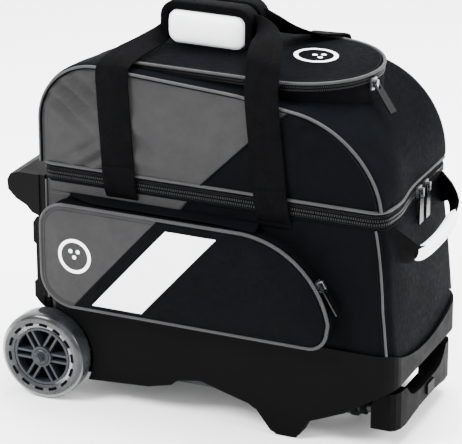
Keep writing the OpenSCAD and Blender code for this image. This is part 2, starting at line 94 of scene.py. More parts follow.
def hump(t):
    """0 at both ends of 0..1 and 1 in the middle."""
    return np.sin(np.pi * np.clip(t, 0, 1))


def ripple(x, y, z, size, seed=0.0):
    """Smooth noise from -1 to 1 with features about size metres across."""
    return noise.noise(Vector((x / size + seed, y / size - seed, z / size + 2 * seed)))


def link(obj):
    bpy.context.scene.collection.objects.link(obj)
    return obj


def mesh_object(name, verts, faces, materials, face_material=None, uv=None, soft_shading=True):
    mesh = bpy.data.meshes.new(name)
    mesh.from_pydata([tuple(map(float, v)) for v in verts], [], [tuple(map(int, f)) for f in faces])
    mesh.validate()
    for m in materials:
        mesh.materials.append(m)
    if face_material is not None and len(mesh.polygons) == len(face_material):
        mesh.polygons.foreach_set("material_index", np.array(face_material, np.int32))
    if soft_shading:
        mesh.polygons.foreach_set("use_smooth", np.ones(len(mesh.polygons), bool))
    if uv is not None:
        layer = mesh.uv_layers.new(name="UVMap")
        index = np.zeros(len(mesh.loops), np.int32)
        mesh.loops.foreach_get("vertex_index", index)
        layer.data.foreach_set("uv", np.asarray(uv, np.float32)[index].ravel())
    mesh.update()
    return link(bpy.data.objects.new(name, mesh))


def grid(name, points, materials, face_material=None, closed=False, flip=False, thick=0.0, offset=-1):
    """Surface through a rows x columns x 3 array, with lengths in metres as its texture map."""
    p = np.asarray(points, float)
    rows, cols = p.shape[:2]
    across = np.concatenate([np.zeros((rows, 1)), np.cumsum(np.linalg.norm(np.diff(p, axis=1), axis=2), 1)], 1)
    down = np.concatenate([np.zeros((1, cols)), np.cumsum(np.linalg.norm(np.diff(p, axis=0), axis=2), 0)], 0)
    uv = np.stack([across, down], 2).reshape(-1, 2)
    index = np.arange(rows * cols).reshape(rows, cols)
    right = np.roll(index, -1, 1) if closed else index[:, 1:]
    left = index if closed else index[:, :-1]
    f = np.stack([left[:-1], right[:-1], right[1:], left[1:]], 2).reshape(-1, 4)
    if flip:
        f = f[:, ::-1]
    obj = mesh_object(name, p.reshape(-1, 3), f, materials, face_material, uv)
    if thick:
        mod = obj.modifiers.new("thickness", "SOLIDIFY")
        mod.thickness = thick
        mod.offset = offset
    return obj


def resample(path, step):
    """Even steps along a path; columns after the first three ride along."""
    p = np.asarray(path, float)
    s = np.concatenate([[0], np.cumsum(np.linalg.norm(np.diff(p[:, :3], axis=0), axis=1))])
    n = max(2, int(round(s[-1] / step)) + 1)
    t = np.linspace(0, s[-1], n)
    return np.stack([np.interp(t, s, p[:, i]) for i in range(p.shape[1])], 1)


def curve_through(points, per=10):
    """Catmull-Rom curve through the points, each a row of any width."""
    p = np.asarray(points, float)
    p = np.vstack([2 * p[0] - p[1], p, 2 * p[-1] - p[-2]])
    out = []
    for i in range(1, len(p) - 2):
        for t in np.linspace(0, 1, per, endpoint=False):
            a, b, c, d = p[i - 1], p[i], p[i + 1], p[i + 2]
            out.append(0.5 * (2 * b + (c - a) * t + (2 * a - 5 * b + 4 * c - d) * t ** 2
                              + (3 * b - a - 3 * c + d) * t ** 3))
    out.append(p[-2])
    return np.array(out)


def tube(name, path, radius, material, closed=False, sides=10):
    """Round cord swept along a path, such as piping."""
    p = np.asarray(path, float)
    ahead = np.roll(p, -1, 0) - np.roll(p, 1, 0) if closed else np.gradient(p, axis=0)
    t = ahead / np.linalg.norm(ahead, axis=1, keepdims=True)
    n = np.cross(t[0], [0.31, 0.17, 0.93])
    rings = []
    for tangent, centre in zip(t, p):
        n = n - tangent * np.dot(n, tangent)
        n /= np.linalg.norm(n)
        b = np.cross(tangent, n)
        a = np.linspace(0, 2 * np.pi, sides, endpoint=False)
        rings.append(centre + radius * (np.cos(a)[:, None] * n + np.sin(a)[:, None] * b))
    rings = np.array(rings)
    if closed:
        rings = np.concatenate([rings, rings[:1]])
    return grid(name, rings, [material], closed=True)


def ribbon(name, centres, widths, thickness, material, rim=0.25):
    """Webbing: a flat strip with rounded edges. widths are the vectors from edge to edge."""
    c, w = np.asarray(centres, float), np.asarray(widths, float)
    t = np.gradient(c, axis=0)
    t /= np.linalg.norm(t, axis=1, keepdims=True)
    w = w - t * np.sum(w * t, 1, keepdims=True) * 0.6
    n = np.cross(t, w)
    n /= np.linalg.norm(n, axis=1, keepdims=True)
    h = thickness / 2
    edge = 1.2 * MM
    size = np.linalg.norm(w, axis=1, keepdims=True)
    u = w / size
    inner = size / 2 - edge
    sections = [(-1, 0.0), (-0.7, 0.75), (0, 1), (0, 1), (0, 1), (0.7, 0.75), (1, 0.0),
                (0.7, -0.75), (0, -1), (0, -1), (0, -1), (-0.7, -0.75)]
    spread = [-1, -1, -1, 0, 1, 1, 1, 1, 1, 0, -1, -1]
    rings = [c + u * (inner * s + edge * e) + n * (h * k) for (e, k), s in zip(sections, spread)]
    pts = np.stack(rings, 1)
    rows, cols = pts.shape[:2]
    length = np.concatenate([[0], np.cumsum(np.linalg.norm(np.diff(c, axis=0), axis=1))])
    span = np.array([-1, -0.95, -0.9, 0, 0.9, 0.95, 1, 0.95, 0.9, 0, -0.9, -0.95]) * float(size.mean()) / 2
    uv = np.stack([np.tile(span, rows), np.repeat(length, cols)], 1)
    index = np.arange(rows * cols).reshape(rows, cols)
    nxt = np.roll(index, -1, 1)
    faces = list(np.stack([index[:-1], nxt[:-1], nxt[1:], index[1:]], 2).reshape(-1, 4))
    faces += [index[0][::-1], index[-1]]
    return mesh_object(name, pts.reshape(-1, 3), faces, [material], uv=uv)


def boxes(name, centres, along, out, size, material):
    """Many small blocks in one mesh, such as zip teeth or stitches. size is (along, side, out)."""
    c, a, o = (np.asarray(v, float) for v in (centres, along, out))
    a = a / np.linalg.norm(a, axis=1, keepdims=True)
    o = o - a * np.sum(o * a, 1, keepdims=True)
    o /= np.linalg.norm(o, axis=1, keepdims=True)
    s = np.cross(o, a)
    verts, faces = [], []
    quads = np.array([[0, 1, 3, 2], [4, 6, 7, 5], [0, 4, 5, 1], [2, 3, 7, 6], [0, 2, 6, 4], [1, 5, 7, 3]])
    corners = [(i, j, k) for i in (-1, 1) for j in (-1, 1) for k in (-1, 1)]
    for i, j, k in corners:
        taper = 0.72 if k > 0 else 1.0
        verts.append(c + a * (i * size[0] / 2 * taper) + s * (j * size[1] / 2 * taper) + o * (k * size[2] / 2))
    verts = np.stack(verts, 1).reshape(-1, 3)
    base = np.arange(len(c))[:, None, None] * 8
    faces = (quads[None] + base).reshape(-1, 4)
    return mesh_object(name, verts, faces, [material], soft_shading=False)


def stitches(name, path, out, material, pitch=3.2 * MM, size=(2.1 * MM, 0.55 * MM, 0.5 * MM)):
    p = resample(np.hstack([path, out]), pitch)
    q, o = p[:, :3], p[:, 3:]
    return boxes(name, (q[1:] + q[:-1]) / 2, q[1:] - q[:-1], o[1:], size, material)


def bevelled(node, width=1.2 * MM, segments=2, angle=35):
    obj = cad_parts[node]
    mod = obj.modifiers.new("edge", "BEVEL")
    mod.width = width
    mod.segments = segments
    mod.limit_method = "ANGLE"
    mod.angle_limit = math.radians(angle)
    mod.harden_normals = False
    return obj


def paint(node, material):
    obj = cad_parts[node]
    obj.data.materials.clear()
    obj.data.materials.append(material)


# ------------------------------------------------------------------ materials
class Shader:
    """A Principled material with a few helpers for its procedural nodes."""

    def __init__(self, name):
        self.mat = bpy.data.materials.new(name)
        self.mat.use_nodes = True
        self.tree = self.mat.node_tree
        self.bsdf = self.tree.nodes["Principled BSDF"]

    def node(self, kind, **inputs):
        n = self.tree.nodes.new(kind)
        for key, value in inputs.items():
            n.inputs[key.replace("_", " ")].default_value = value
        return n

    def wire(self, a, b):
        self.tree.links.new(a, b)
        return b

    def maths(self, operation, a, b=None):
        n = self.tree.nodes.new("ShaderNodeMath")
        n.operation = operation
        for slot, v in zip(n.inputs, (a, b)):
            if v is None:
                continue
            if isinstance(v, (int, float)):
                slot.default_value = v
            else:
                self.wire(v, slot)
        return n.outputs[0]

    def place(self, kind="Object"):
        return self.node("ShaderNodeTexCoord").outputs[kind]

    def noise(self, scale, detail=3.0, rough=0.5, kind="Object"):
        n = self.node("ShaderNodeTexNoise", Scale=scale, Detail=detail, Roughness=rough)
        self.wire(self.place(kind), n.inputs["Vector"])
        return n.outputs["Fac"]

    def ramp(self, value, low, high, start=0.3, end=0.7):
        n = self.tree.nodes.new("ShaderNodeValToRGB")
        n.color_ramp.elements[0].position = start
        n.color_ramp.elements[1].position = end
        n.color_ramp.elements[0].color = (*low, 1)
        n.color_ramp.elements[1].color = (*high, 1)
        self.wire(value, n.inputs["Fac"])
        return n.outputs["Color"]

    def bump(self, height, distance, strength=1.0, after=None):
        n = self.node("ShaderNodeBump", Strength=strength, Distance=distance)
        self.wire(height, n.inputs["Height"])
        if after is not None:
            self.wire(after, n.inputs["Normal"])
        return n.outputs["Normal"]

    def weave(self, pitch):
        """Plain weave laid on the piece's texture map."""
        uv = self.tree.nodes.new("ShaderNodeSeparateXYZ")
        self.wire(self.place("UV"), uv.inputs[0])
        wave = [self.maths("SINE", self.maths("MULTIPLY", uv.outputs[i], 2 * math.pi / pitch)) for i in (0, 1)]
        return self.maths("MULTIPLY", wave[0], wave[1])

    def finish(self, colour=None, rough=None, normal=None, **values):
        for key, value in values.items():
            self.bsdf.inputs[key.replace("_", " ")].default_value = value
        for key, value in (("Base Color", colour), ("Roughness", rough), ("Normal", normal)):
            if value is None:
                continue
            if isinstance(value, (int, float)):
                self.bsdf.inputs[key].default_value = value
            elif isinstance(value, tuple):
                self.bsdf.inputs[key].default_value = (*value, 1)
            else:
                self.wire(value, self.bsdf.inputs[key])
        return self.mat


def spread(colour, amount):
    return tuple(c * (1 - amount) for c in colour), tuple(min(1, c * (1 + amount)) for c in colour)


def cloth(name, colour, vary=0.18, pitch=0.9 * MM, rough=0.66, sheen=0.02, slub=0.0009, weave=0.00012, shine=0.14):
    s = Shader(name)
    low, high = spread(colour, vary)
    tint = s.ramp(s.noise(38, 4, 0.6), low, high)
    soft = s.bump(s.noise(26, 3, 0.55), slub, 0.7)
    thread = s.bump(s.weave(pitch), weave, 0.8, soft)
    grain = s.ramp(s.noise(160, 2), (rough - 0.08,) * 3, (rough + 0.1,) * 3)
    return s.finish(tint, grain, thread, Sheen_Weight=sheen, Sheen_Roughness=0.45, Specular_IOR_Level=shine)


def plastic(name, colour, rough=0.42, grain=0.00006, vary=0.12, scuff=0.05, shine=0.2):
    s = Shader(name)
    low, high = spread(colour, vary)
    tint = s.ramp(s.noise(9, 4), low, high)
    fine = s.bump(s.noise(1500, 2), grain, 0.6)
    wavy = s.bump(s.noise(14, 2), 0.0006, 0.25, fine)
    wear = s.ramp(s.noise(45, 6, 0.7), (rough - scuff,) * 3, (rough + scuff + 0.06,) * 3)
    return s.finish(tint, wear, wavy, Specular_IOR_Level=shine)


def metal(name, colour, rough=0.3, stretch=(1, 60, 60)):
    s = Shader(name)
    m = s.node("ShaderNodeMapping")
    m.inputs["Scale"].default_value = stretch
    s.wire(s.place(), m.inputs["Vector"])
    n = s.node("ShaderNodeTexNoise", Scale=30.0, Detail=4.0)
    s.wire(m.outputs[0], n.inputs["Vector"])
    low, high = spread(colour, 0.12)
    brushed = s.ramp(n.outputs["Fac"], (rough - 0.08,) * 3, (rough + 0.12,) * 3)
    return s.finish(s.ramp(n.outputs["Fac"], low, high), brushed,
                    s.bump(n.outputs["Fac"], 0.00003, 0.5), Metallic=1.0)


def webbing(name, colour, rib=1.7 * MM):
    """Ribs run across the strap, with a fine twill in them."""
    s = Shader(name)
    uv = s.tree.nodes.new("ShaderNodeSeparateXYZ")
    s.wire(s.place("UV"), uv.inputs[0])
    ribs = s.maths("SINE", s.maths("MULTIPLY", uv.outputs[1], 2 * math.pi / rib))
    lines = s.maths("SINE", s.maths("MULTIPLY", uv.outputs[0], 2 * math.pi / (2.4 * MM)))
    height = s.maths("ADD", ribs, s.maths("MULTIPLY", lines, 0.45))
    low, high = spread(colour, 0.3)
    tint = s.ramp(s.noise(55, 4), low, high)
    return s.finish(tint, s.ramp(s.noise(200, 2), (0.55,) * 3, (0.75,) * 3), s.bump(height, 0.00022, 0.8),
                    Sheen_Weight=0.001, Sheen_Roughness=0.5, Specular_IOR_Level=0.015)


def urethane(name):
    s = Shader(name)
    cloudy = s.ramp(s.noise(22, 3), (0.0075, 0.0086, 0.0094), (0.030, 0.033, 0.0345))
    wear = s.ramp(s.noise(70, 5), (0.12,) * 3, (0.28,) * 3)
    return s.finish(cloudy, wear, s.bump(s.noise(40, 3), 0.0004, 0.3), Transmission_Weight=0.12, IOR=1.45,
                    Specular_IOR_Level=0.2, Coat_Weight=0.12, Coat_Roughness=0.08)


BLACK = cloth("black_cloth", (0.0009, 0.0010, 0.0014), sheen=0.001, shine=0.02)
# painted sheen: a lighter, bluer copy of the black cloth for the right end, the top and the lid, standing in for the
# sheen those faces catch
BLACK_PAINTED_SHEEN = cloth("black_cloth_painted_sheen", (0.0013, 0.0016, 0.0022), rough=0.6, sheen=0.001, shine=0.007)
GREY = cloth("grey_cloth", (0.0190, 0.0190, 0.0196), vary=0.12, rough=0.55, sheen=0.01, shine=0.07)
LINING = cloth("lining", (0.005, 0.005, 0.0058), pitch=1.3 * MM, sheen=0.005, shine=0.05)
PIPING = cloth("piping", (0.027, 0.027, 0.028), vary=0.12, pitch=1.2 * MM, rough=0.45, sheen=0.01, shine=0.1)
WHITE = cloth("white_cloth", (0.95, 0.96, 0.975), vary=0.03, rough=0.5, sheen=0.1)
BINDING = cloth("binding", (0.0009, 0.0009, 0.0012), pitch=1.5 * MM, rough=0.6, sheen=0.001, shine=0.015)
FOAM = cloth("foam", (0.009, 0.009, 0.010), pitch=2.2 * MM, rough=0.85, weave=0.0003, sheen=0.01, shine=0.05)
WEB = webbing("webbing", (0.0010, 0.0010, 0.0012))
TRAY = plastic("tray_plastic", (0.0013, 0.0013, 0.0014), rough=0.48, shine=0.018)
STAND = plastic("stand_plastic", (0.0015, 0.0015, 0.0017), rough=0.38, shine=0.03)
HUB = plastic("hub_plastic", (0.0105, 0.0130, 0.0165), rough=0.35, vary=0.08, shine=0.2)
# painted shade: near-black pieces put in the rim windows and behind the spokes, where only shade shows
HUB_PAINTED_SHADE = plastic("hub_painted_shade", (0.0008, 0.0010, 0.0014), rough=0.5, shine=0.01)
RUBBER = plastic("pad_rubber", (0.002, 0.002, 0.002), rough=0.7, grain=0.0002, shine=0.03)
GLOSS = plastic("gloss_black", (0.0012, 0.0012, 0.0012), rough=0.25, scuff=0.03, shine=0.2)
TEETH = plastic("zip_teeth", (0.0055, 0.0055, 0.0060), rough=0.3, shine=0.12)
TAPE = cloth("zip_tape", (0.0009, 0.0009, 0.0012), pitch=1.0 * MM, rough=0.7, sheen=0.001, shine=0.015)
STEEL = metal("steel", (0.26, 0.27, 0.29))
TUBE_PAINT = metal("tube_paint", (0.02, 0.022, 0.025), rough=0.36)
TYRE = urethane("tyre_urethane")
THREAD = cloth("thread", (0.003, 0.003, 0.0035), pitch=0.8 * MM, sheen=0.005, shine=0.04)
THREAD_GREY = cloth("grey_thread", (0.011, 0.011, 0.012), pitch=0.8 * MM, sheen=0.005, shine=0.06)
MARK = cloth("printed_mark", (0.93, 0.93, 0.94), vary=0.02, rough=0.45)
BOARD = plastic("board", (0.005, 0.005, 0.006), rough=0.55, grain=0.0002, shine=0.05)


# ------------------------------------------------------------------ camera, floor and lights
def stage():
    azimuth, elevation = math.radians(23.92), math.radians(21.32)
    target = Vector((-0.0099, 0, 0.2435))
    back = Vector((math.sin(azimuth) * math.cos(elevation), -math.cos(azimuth) * math.cos(elevation),
                   math.sin(elevation)))
    cam = link(bpy.data.objects.new("camera", bpy.data.cameras.new("camera")))
    cam.data.lens = 201.4
    cam.data.clip_end = 20
    cam.location = target + back * 3.566
    cam.rotation_euler = back.to_track_quat("Z", "Y").to_euler()
    bpy.context.scene.camera = cam

    floor = mesh_object("floor", [(-6, -6, 0), (6, -6, 0), (6, 8, 0), (-6, 8, 0)], [(0, 1, 2, 3)],
                        [Shader("floor").finish((0.96, 0.96, 0.962), 0.6)])
    world = bpy.data.worlds.new("studio")
    world.use_nodes = True
    world.node_tree.nodes["Background"].inputs["Color"].default_value = (1, 1, 1, 1)
    world.node_tree.nodes["Background"].inputs["Strength"].default_value = 2.3
    bpy.context.scene.world = world

    for name, place, size, power in (
        ("key", (-1.5, -2.0, 2.6), 1.5, 300), ("end_light", (2.7, -0.4, 1.5), 1.2, 100),
        ("top_light", (0.2, 0.9, 3.0), 2.0, 380),
    ):
        data = bpy.data.lights.new(name, "AREA")
        data.shape = "DISK"
        data.size = size
        data.energy = power
        lamp = link(bpy.data.objects.new(name, data))
        lamp.location = place
        lamp.rotation_euler = (Vector(place) - Vector((0, 0, 0.25))).to_track_quat("Z", "Y").to_euler()


# ------------------------------------------------------------------ outline of the fabric body
def plan_loop(x0, x1, half, r, front=64, side=36, corner=8):
    """Rounded rectangle, anticlockwise from the left end of the front."""
    def straight(a, b, n):
        return [np.array(a) + (np.array(b) - np.array(a)) * i / n for i in range(n)]

    def turn(cx, cy, start):
        return [np.array((cx + r * math.cos(start + math.pi / 2 * i / corner),
                          cy + r * math.sin(start + math.pi / 2 * i / corner))) for i in range(corner)]

    pts = straight((x0 + r, -half), (x1 - r, -half), front) + turn(x1 - r, -half + r, -math.pi / 2)
    pts += straight((x1, -half + r), (x1, half - r), side) + turn(x1 - r, half - r, 0)
    pts += straight((x1 - r, half), (x0 + r, half), front) + turn(x0 + r, half - r, math.pi / 2)
    pts += straight((x0, half - r), (x0, -half + r), side) + turn(x0 + r, -half + r, math.pi)
    return np.array(pts)


def end_push(x, y, z):
    """The right end swells beside its front corner, most at the zip."""
    near = np.exp(-((y + 0.080) / 0.045) ** 2) * smooth((x - 0.17) / 0.08)
    return 0.008 * near * smooth((z - 0.17) / 0.12)


def body_x1(z):
    t = np.clip((0.318 - z) / 0.176, 0, 1.1)
    return ZIP_RIGHT - 3 * MM + 0.0222 * t ** 0.8


def body_point(x, y, z):
    """Swell and wrinkle a point of the lower compartment's plain shape."""
    u = (x - LEFT) / (body_x1(z) - LEFT)
    v = (z - 0.10) / (ZIP - 0.10)
    w = (y + HALF) / (2 * HALF)
    face = smooth((abs(y) - HALF + 0.012) / 0.012)
    out = 0.0035 * hump(u) * hump(v) * face
    y += math.copysign(out, y)
    end = smooth((x - body_x1(z) + 0.012) / 0.012)
    x += (0.006 * hump(w) * hump(v)) * end
    x += end_push(x, y, z)
    fold = 0.0011 * ripple(x, y, z * 1.6, 0.055, 3.1) * hump(v)
    y += math.copysign(fold * face, y)
    x += fold * end
    if z < TRAY_TOP + 3 * MM:
        x = float(np.clip(x, LEFT + 4.6 * MM * smooth((TRAY_TOP + 1 * MM - z) / 0.003), tray_hi.x - 4.2 * MM))
        y = float(np.clip(y, -tray_hi.y + 4.2 * MM, tray_hi.y - 4.2 * MM))
    return x, y, z


def lower_body():
    heights = np.linspace(TRAY_TOP - 30 * MM, ZIP - 8 * MM, 46)
    rows = []
    for z in heights:
        half = HALF + 1.2 * MM * smooth((0.2 - z) / 0.06)
        loop = plan_loop(LEFT, body_x1(z), half, (16 + 10 * smooth((0.2 - z) / 0.08)) * MM)
        rows.append([body_point(x, y, z) for x, y in loop])
    body = grid("lower_body", rows, [BLACK, BLACK_PAINTED_SHEEN], thick=3 * MM, closed=True)
    # painted sheen: faces of the right end, away from the front and back corners, take the lighter black cloth
    centre = np.array([p.center.x > 0.262 - 0.25 * (p.center.z - 0.2) * 0.4 and abs(p.center.y) < HALF - 5 * MM
                       for p in body.data.polygons])
    body.data.polygons.foreach_set("material_index", centre.astype(np.int32))
    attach(body, "root")
    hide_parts("lower_shell")
    # lining of the sunk part, between the wheel wells
    lining = []
    for z, half, x0, x1 in ((0.1375, HALF - 4 * MM, LEFT + 4 * MM, body_x1(0.1375) - 4 * MM),
                            (0.136, 0.1035, LEFT + 5 * MM, 0.268), (0.115, 0.103, LEFT + 5 * MM, 0.262),
                            (0.086, 0.102, LEFT + 6 * MM, 0.236), (0.0825, 0.10, LEFT + 7 * MM, 0.230)):
        lining.append([(x, y, z) for x, y in plan_loop(x0, x1, half, 14 * MM)])
    inner = grid("body_lining", lining, [LINING], closed=True, flip=True, thick=1.5 * MM)
    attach(inner, "root")


def front_y(x, z):
    return body_point(x, -HALF - 1.2 * MM * float(smooth((0.2 - z) / 0.06)), z)[1]


def front_patch(name, rows, material, lift=0.9 * MM, body="root", surface=front_y):
    """Cloth patch on the front: rows of (x start, x end, z) laid on the surface."""
    pts = []
    for x0, x1, z in rows:
        xs = np.linspace(x0, x1, 40)
        pts.append([(x, surface(x, z) - lift, z) for x in xs])
    patch = grid(name, pts, [material], thick=0.8 * MM)
    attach(patch, body)
    return patch


def corner_pipes():
    """Piped seams up the corners of the lower compartment."""
    first = None
    heights = np.linspace(TRAY_TOP + 1 * MM, ZIP - 10 * MM, 40)
    for side in (-1, 1):
        for end in ("right", "left"):
            path = []
            for z in heights:
                x = body_x1(z) - 6 * MM if end == "right" else LEFT + 5 * MM
                px, py, pz = body_point(x, side * (HALF + 0.4 * MM), z)
                path.append((px, py + side * 0.6 * MM, pz))
            pipe = tube(f"corner_pipe_{end}_{'front' if side < 0 else 'back'}", path, PIPE * 0.75, PIPING)
            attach(pipe, "root")
            seam = np.array(path) + [(-5 if end == "right" else 5) * MM, 0, 0]
            out = np.tile([0, side, 0], (len(seam), 1))
            sew = stitches(f"corner_sew_{end}_{'front' if side < 0 else 'back'}", seam, out, THREAD)
            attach(sew, "root")
            first = first or pipe
    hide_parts("corner_piping")


# ------------------------------------------------------------------ main zip
def zip_loop(z, proud, r=18 * MM):
    loop = plan_loop(LEFT - proud, ZIP_RIGHT + proud, HALF + proud, r, front=120, side=60, corner=10)
    return np.array([(x + end_push(x, y, z), y, z) for x, y in loop])


def loop_normals(p):
    t = np.roll(p, -1, 0) - np.roll(p, 1, 0)
    n = np.cross(t, [0, 0, 1])
    return n / np.linalg.norm(n, axis=1, keepdims=True)


def zip_teeth(name, path, normals, body, pitch, size, shift=0.0, closed=False):
    both = np.hstack([path, normals])
    if closed:
        both = np.vstack([both, both[:1]])
    p = resample(both, pitch / 2)
    first = 1 if shift else 0
    q, o = p[first::2, :3], p[first::2, 3:]
    along = np.gradient(q, axis=0)
    obj = boxes(name, q, along, o, size, TEETH)
    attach(obj, body)
    return obj


def main_zip():
    cut = {"root": (ZIP - 9.5 * MM, ZIP - 0.2 * MM), "upper": (ZIP + 0.2 * MM, ZIP + 13 * MM)}
    for body, (z0, z1) in cut.items():
        label = "lower" if body == "root" else "upper"
        rows = []
        for z in np.linspace(z0, z1, 5):
            sink = 1.2 * MM if abs(z - ZIP) < 2 * MM else 0.2 * MM
            rows.append(zip_loop(z, 1.2 * MM - sink))
        tape = grid(f"{label}_zip_tape", rows, [TAPE], closed=True, thick=1.6 * MM)
        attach(tape, body)
        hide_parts(f"{label}_zip")
        side = -1 if body == "root" else 1
        path = zip_loop(ZIP + side * 2.6 * MM, 1.4 * MM)
        zip_teeth(f"{label}_zip_teeth", path, loop_normals(path), body, 3.3 * MM,
                  (2.0 * MM, 4.6 * MM, 2.2 * MM), shift=body == "upper", closed=True)
        for k, height in enumerate((6.4, 8.6)):
            cord_path = zip_loop(ZIP + side * height * MM, 1.1 * MM)
            row = stitches(f"{label}_zip_sew_{k}", np.vstack([cord_path, cord_path[:1]]),
                           np.vstack([loop_normals(cord_path), loop_normals(cord_path)[:1]]), THREAD_GREY,
                           2.6 * MM, (1.7 * MM, 0.8 * MM, 0.5 * MM))
            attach(row, body)
    pipe = tube("main_piping", zip_loop(ZIP + 14.2 * MM, 1.8 * MM), PIPE, PIPING, closed=True)
    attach(pipe, "upper")
    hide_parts("upper_piping")
    low = tube("lower_zip_welt", zip_loop(ZIP - 9.5 * MM, 0.9 * MM), 1.3 * MM, BLACK, closed=True)
    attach(low, "root")
    # strip of cloth that joins the two compartments at the left end
    rows = [[(LEFT - 4.2 * MM - 1.6 * MM * math.sin(math.pi * t), y, ZIP - 12 * MM + 26 * MM * t)
             for y in np.linspace(-0.085, 0.085, 40)] for t in np.linspace(0, 1, 14)]
    hinge = grid("hinge_cloth", rows, [BLACK], thick=1.0 * MM, offset=1)
    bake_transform(hinge)


# ------------------------------------------------------------------ shoe compartment
PROFILE_LEFT_R, PROFILE_RIGHT_R = 85 * MM, 127 * MM
ARCH = (upper_hi.x - PROFILE_RIGHT_R, 0.343)


def profile(inset=0.0, n_left=26, n_top=30, n_right=40, n_side=12):
    """Front outline of the shoe compartment from the left zip corner over the top to the right one."""
    x0, x1, z0 = upper_lo.x, upper_hi.x, ZIP + 15 * MM
    cl = (x0 + PROFILE_LEFT_R, TOP - PROFILE_LEFT_R)
    cr = ARCH
    pts = [(x0 + inset, z) for z in np.linspace(z0, cl[1], n_side, endpoint=False)]
    a = np.linspace(math.pi, math.pi / 2, n_left, endpoint=False)
    pts += [(cl[0] + (PROFILE_LEFT_R - inset) * math.cos(t), cl[1] + (PROFILE_LEFT_R - inset) * math.sin(t)) for t in a]
    s = np.linspace(0, 1, n_top, endpoint=False)
    pts += [(cl[0] + (cr[0] - cl[0]) * t, TOP - inset + (cr[1] + PROFILE_RIGHT_R - TOP) * t) for t in s]
    a = np.linspace(math.pi / 2, 0, n_right)
    pts += [(cr[0] + (PROFILE_RIGHT_R - inset) * math.cos(t), cr[1] + (PROFILE_RIGHT_R - inset) * math.sin(t)) for t in a]
    return np.array(pts)


def upper_sag(x, y, z):
    """The left end slumps towards the back, and the right end swells with the zip below it."""
    left = smooth((-0.09 - x) / 0.10) * smooth((z - 0.40) / 0.08)
    z = z - 0.030 * left * (y + HALF) / (2 * HALF)
    # the front of the round end is drawn in by its seam
    dx, dz = x - ARCH[0], z - ARCH[1]
    angle = min(math.atan2(max(dz, 0.0), dx), 2 * math.pi / 3)
    drawn = 0.010 * math.sin(angle * 1.5) * float(smooth((-0.045 - y) / 0.08)) * math.hypot(dx, dz) / PROFILE_RIGHT_R
    x -= drawn * math.cos(angle)
    z -= drawn * math.sin(angle)
    x = x + end_push(x, y, z) * smooth((0.45 - z) / 0.10)
    return x, y, z


def upper_band():
    """Top and ends in one strip, with soft edges where the front and back panels join it."""
    p = profile()
    t = np.gradient(p, axis=0)
    n = np.stack([-t[:, 1], t[:, 0]], 1)
    n /= np.linalg.norm(n, axis=1, keepdims=True)
    ys = np.concatenate([[-HALF, -HALF + 1.2 * MM, -HALF + 4 * MM], np.linspace(-HALF + 9 * MM, HALF - 9 * MM, 44),
                         [HALF - 4 * MM, HALF - 1.2 * MM, HALF]])
    rows = []
    for i, ((x, z), (nx, nz)) in enumerate(zip(p, n)):
        row = []
        for y in ys:
            gap = HALF - abs(y)
            drop = 5 * MM * (1 - math.sqrt(max(0.0, 1 - (1 - min(gap, 9 * MM) / (9 * MM)) ** 2)))
            swell = 4.0 * MM * float(hump((y + HALF) / (2 * HALF))) * float(hump(i / len(p)))
            crease = 1.0 * MM * ripple(x * 1.3, y, z, 0.05, 7.7)
            d = swell - drop + crease * float(smooth(gap / 0.02))
            row.append(upper_sag(x + nx * d, y, z + nz * d))
        rows.append(row)
    rows = np.array(rows)
    hole = lid_inside(rows[:, :, 0], rows[:, :, 1])
    # painted sheen: the top and both ends take the lighter black cloth
    band = grid("upper_band", rows, [BLACK_PAINTED_SHEEN], thick=3 * MM, flip=False)
    bm = bmesh.new()
    bm.from_mesh(band.data)
    bm.faces.ensure_lookup_table()
    gone = [f for f in bm.faces if all(lid_inside(v.co.x, v.co.y, 6 * MM) and v.co.z > 0.42 for v in f.verts)]
    bmesh.ops.delete(bm, geom=gone, context="FACES")
    bm.to_mesh(band.data)
    bm.free()
    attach(band, "upper")
    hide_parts("upper_shell")
    for side, label in ((-1, "front"), (1, "back")):
        edge = profile(1.2 * MM)
        path = [upper_sag(x, side * (HALF + 0.2 * MM), z) for x, z in edge]
        pipe = tube(f"upper_{label}_piping", path, PIPE, PIPING)
        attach(pipe, "upper")
        second = [upper_sag(x, side * (HALF + 0.6 * MM), z) for x, z in profile(7 * MM)]
        sew = stitches(f"upper_{label}_sew", second, np.tile([0, side, 0], (len(second), 1)), THREAD_GREY)
        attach(sew, "upper")


def lid_inside(x, y, margin=0.0):
    """True where a point lies inside the lid's outline by the margin."""
    r = LID_R - margin
    round_end = (x > LID_X) & ((x - LID_X) ** 2 + y ** 2 < r * r)
    square = (x <= LID_X) & (x > lid_lo.x + margin) & (abs(y) < r)
    return round_end | square


def diagonal_x(z):
    """Seam between the grey and the black part of the front panel."""
    return 0.006 + (z - 0.346)


def panel_row_limits(z, edge):
    top = edge[:, 1].argmax()
    left, right = edge[: top + 1], edge[top:]
    x0 = np.interp(z, left[:, 1], left[:, 0])
    x1 = np.interp(-z, -right[:, 1], right[:, 0])
    return x0, x1


def upper_surface(x, z):
    u = (x - upper_lo.x) / (upper_hi.x - upper_lo.x)
    v = (z - ZIP) / (TOP - ZIP)
    y = -HALF - 0.3 * MM - 4.5 * MM * float(hump(u) * hump(v))
    y -= 1.0 * MM * ripple(x, 0, z, 0.05, 1.7)
    # diagonal folds in the slack left corner
    fold = math.exp(-((x + 0.185) / 0.045) ** 2 - ((z - 0.435) / 0.035) ** 2)
    y -= 6.0 * MM * fold * math.sin((x * 0.8 + z) * 2 * math.pi / 0.030)
    # the cloth gathers above the zip beside the left strap, and creases beside both
    gather = math.exp(-((x + 0.155) / 0.035) ** 2 - ((z - 0.362) / 0.022) ** 2)
    y -= 5.5 * MM * gather * math.sin((x - 1.4 * z) * 2 * math.pi / 0.034)
    beside = math.exp(-((x + 0.085) / 0.016) ** 2) * float(smooth((z - 0.345) / 0.02) * smooth((0.46 - z) / 0.05))
    y += 4.0 * MM * beside * math.cos((z + 0.6 * x) * 2 * math.pi / 0.048)
    return y


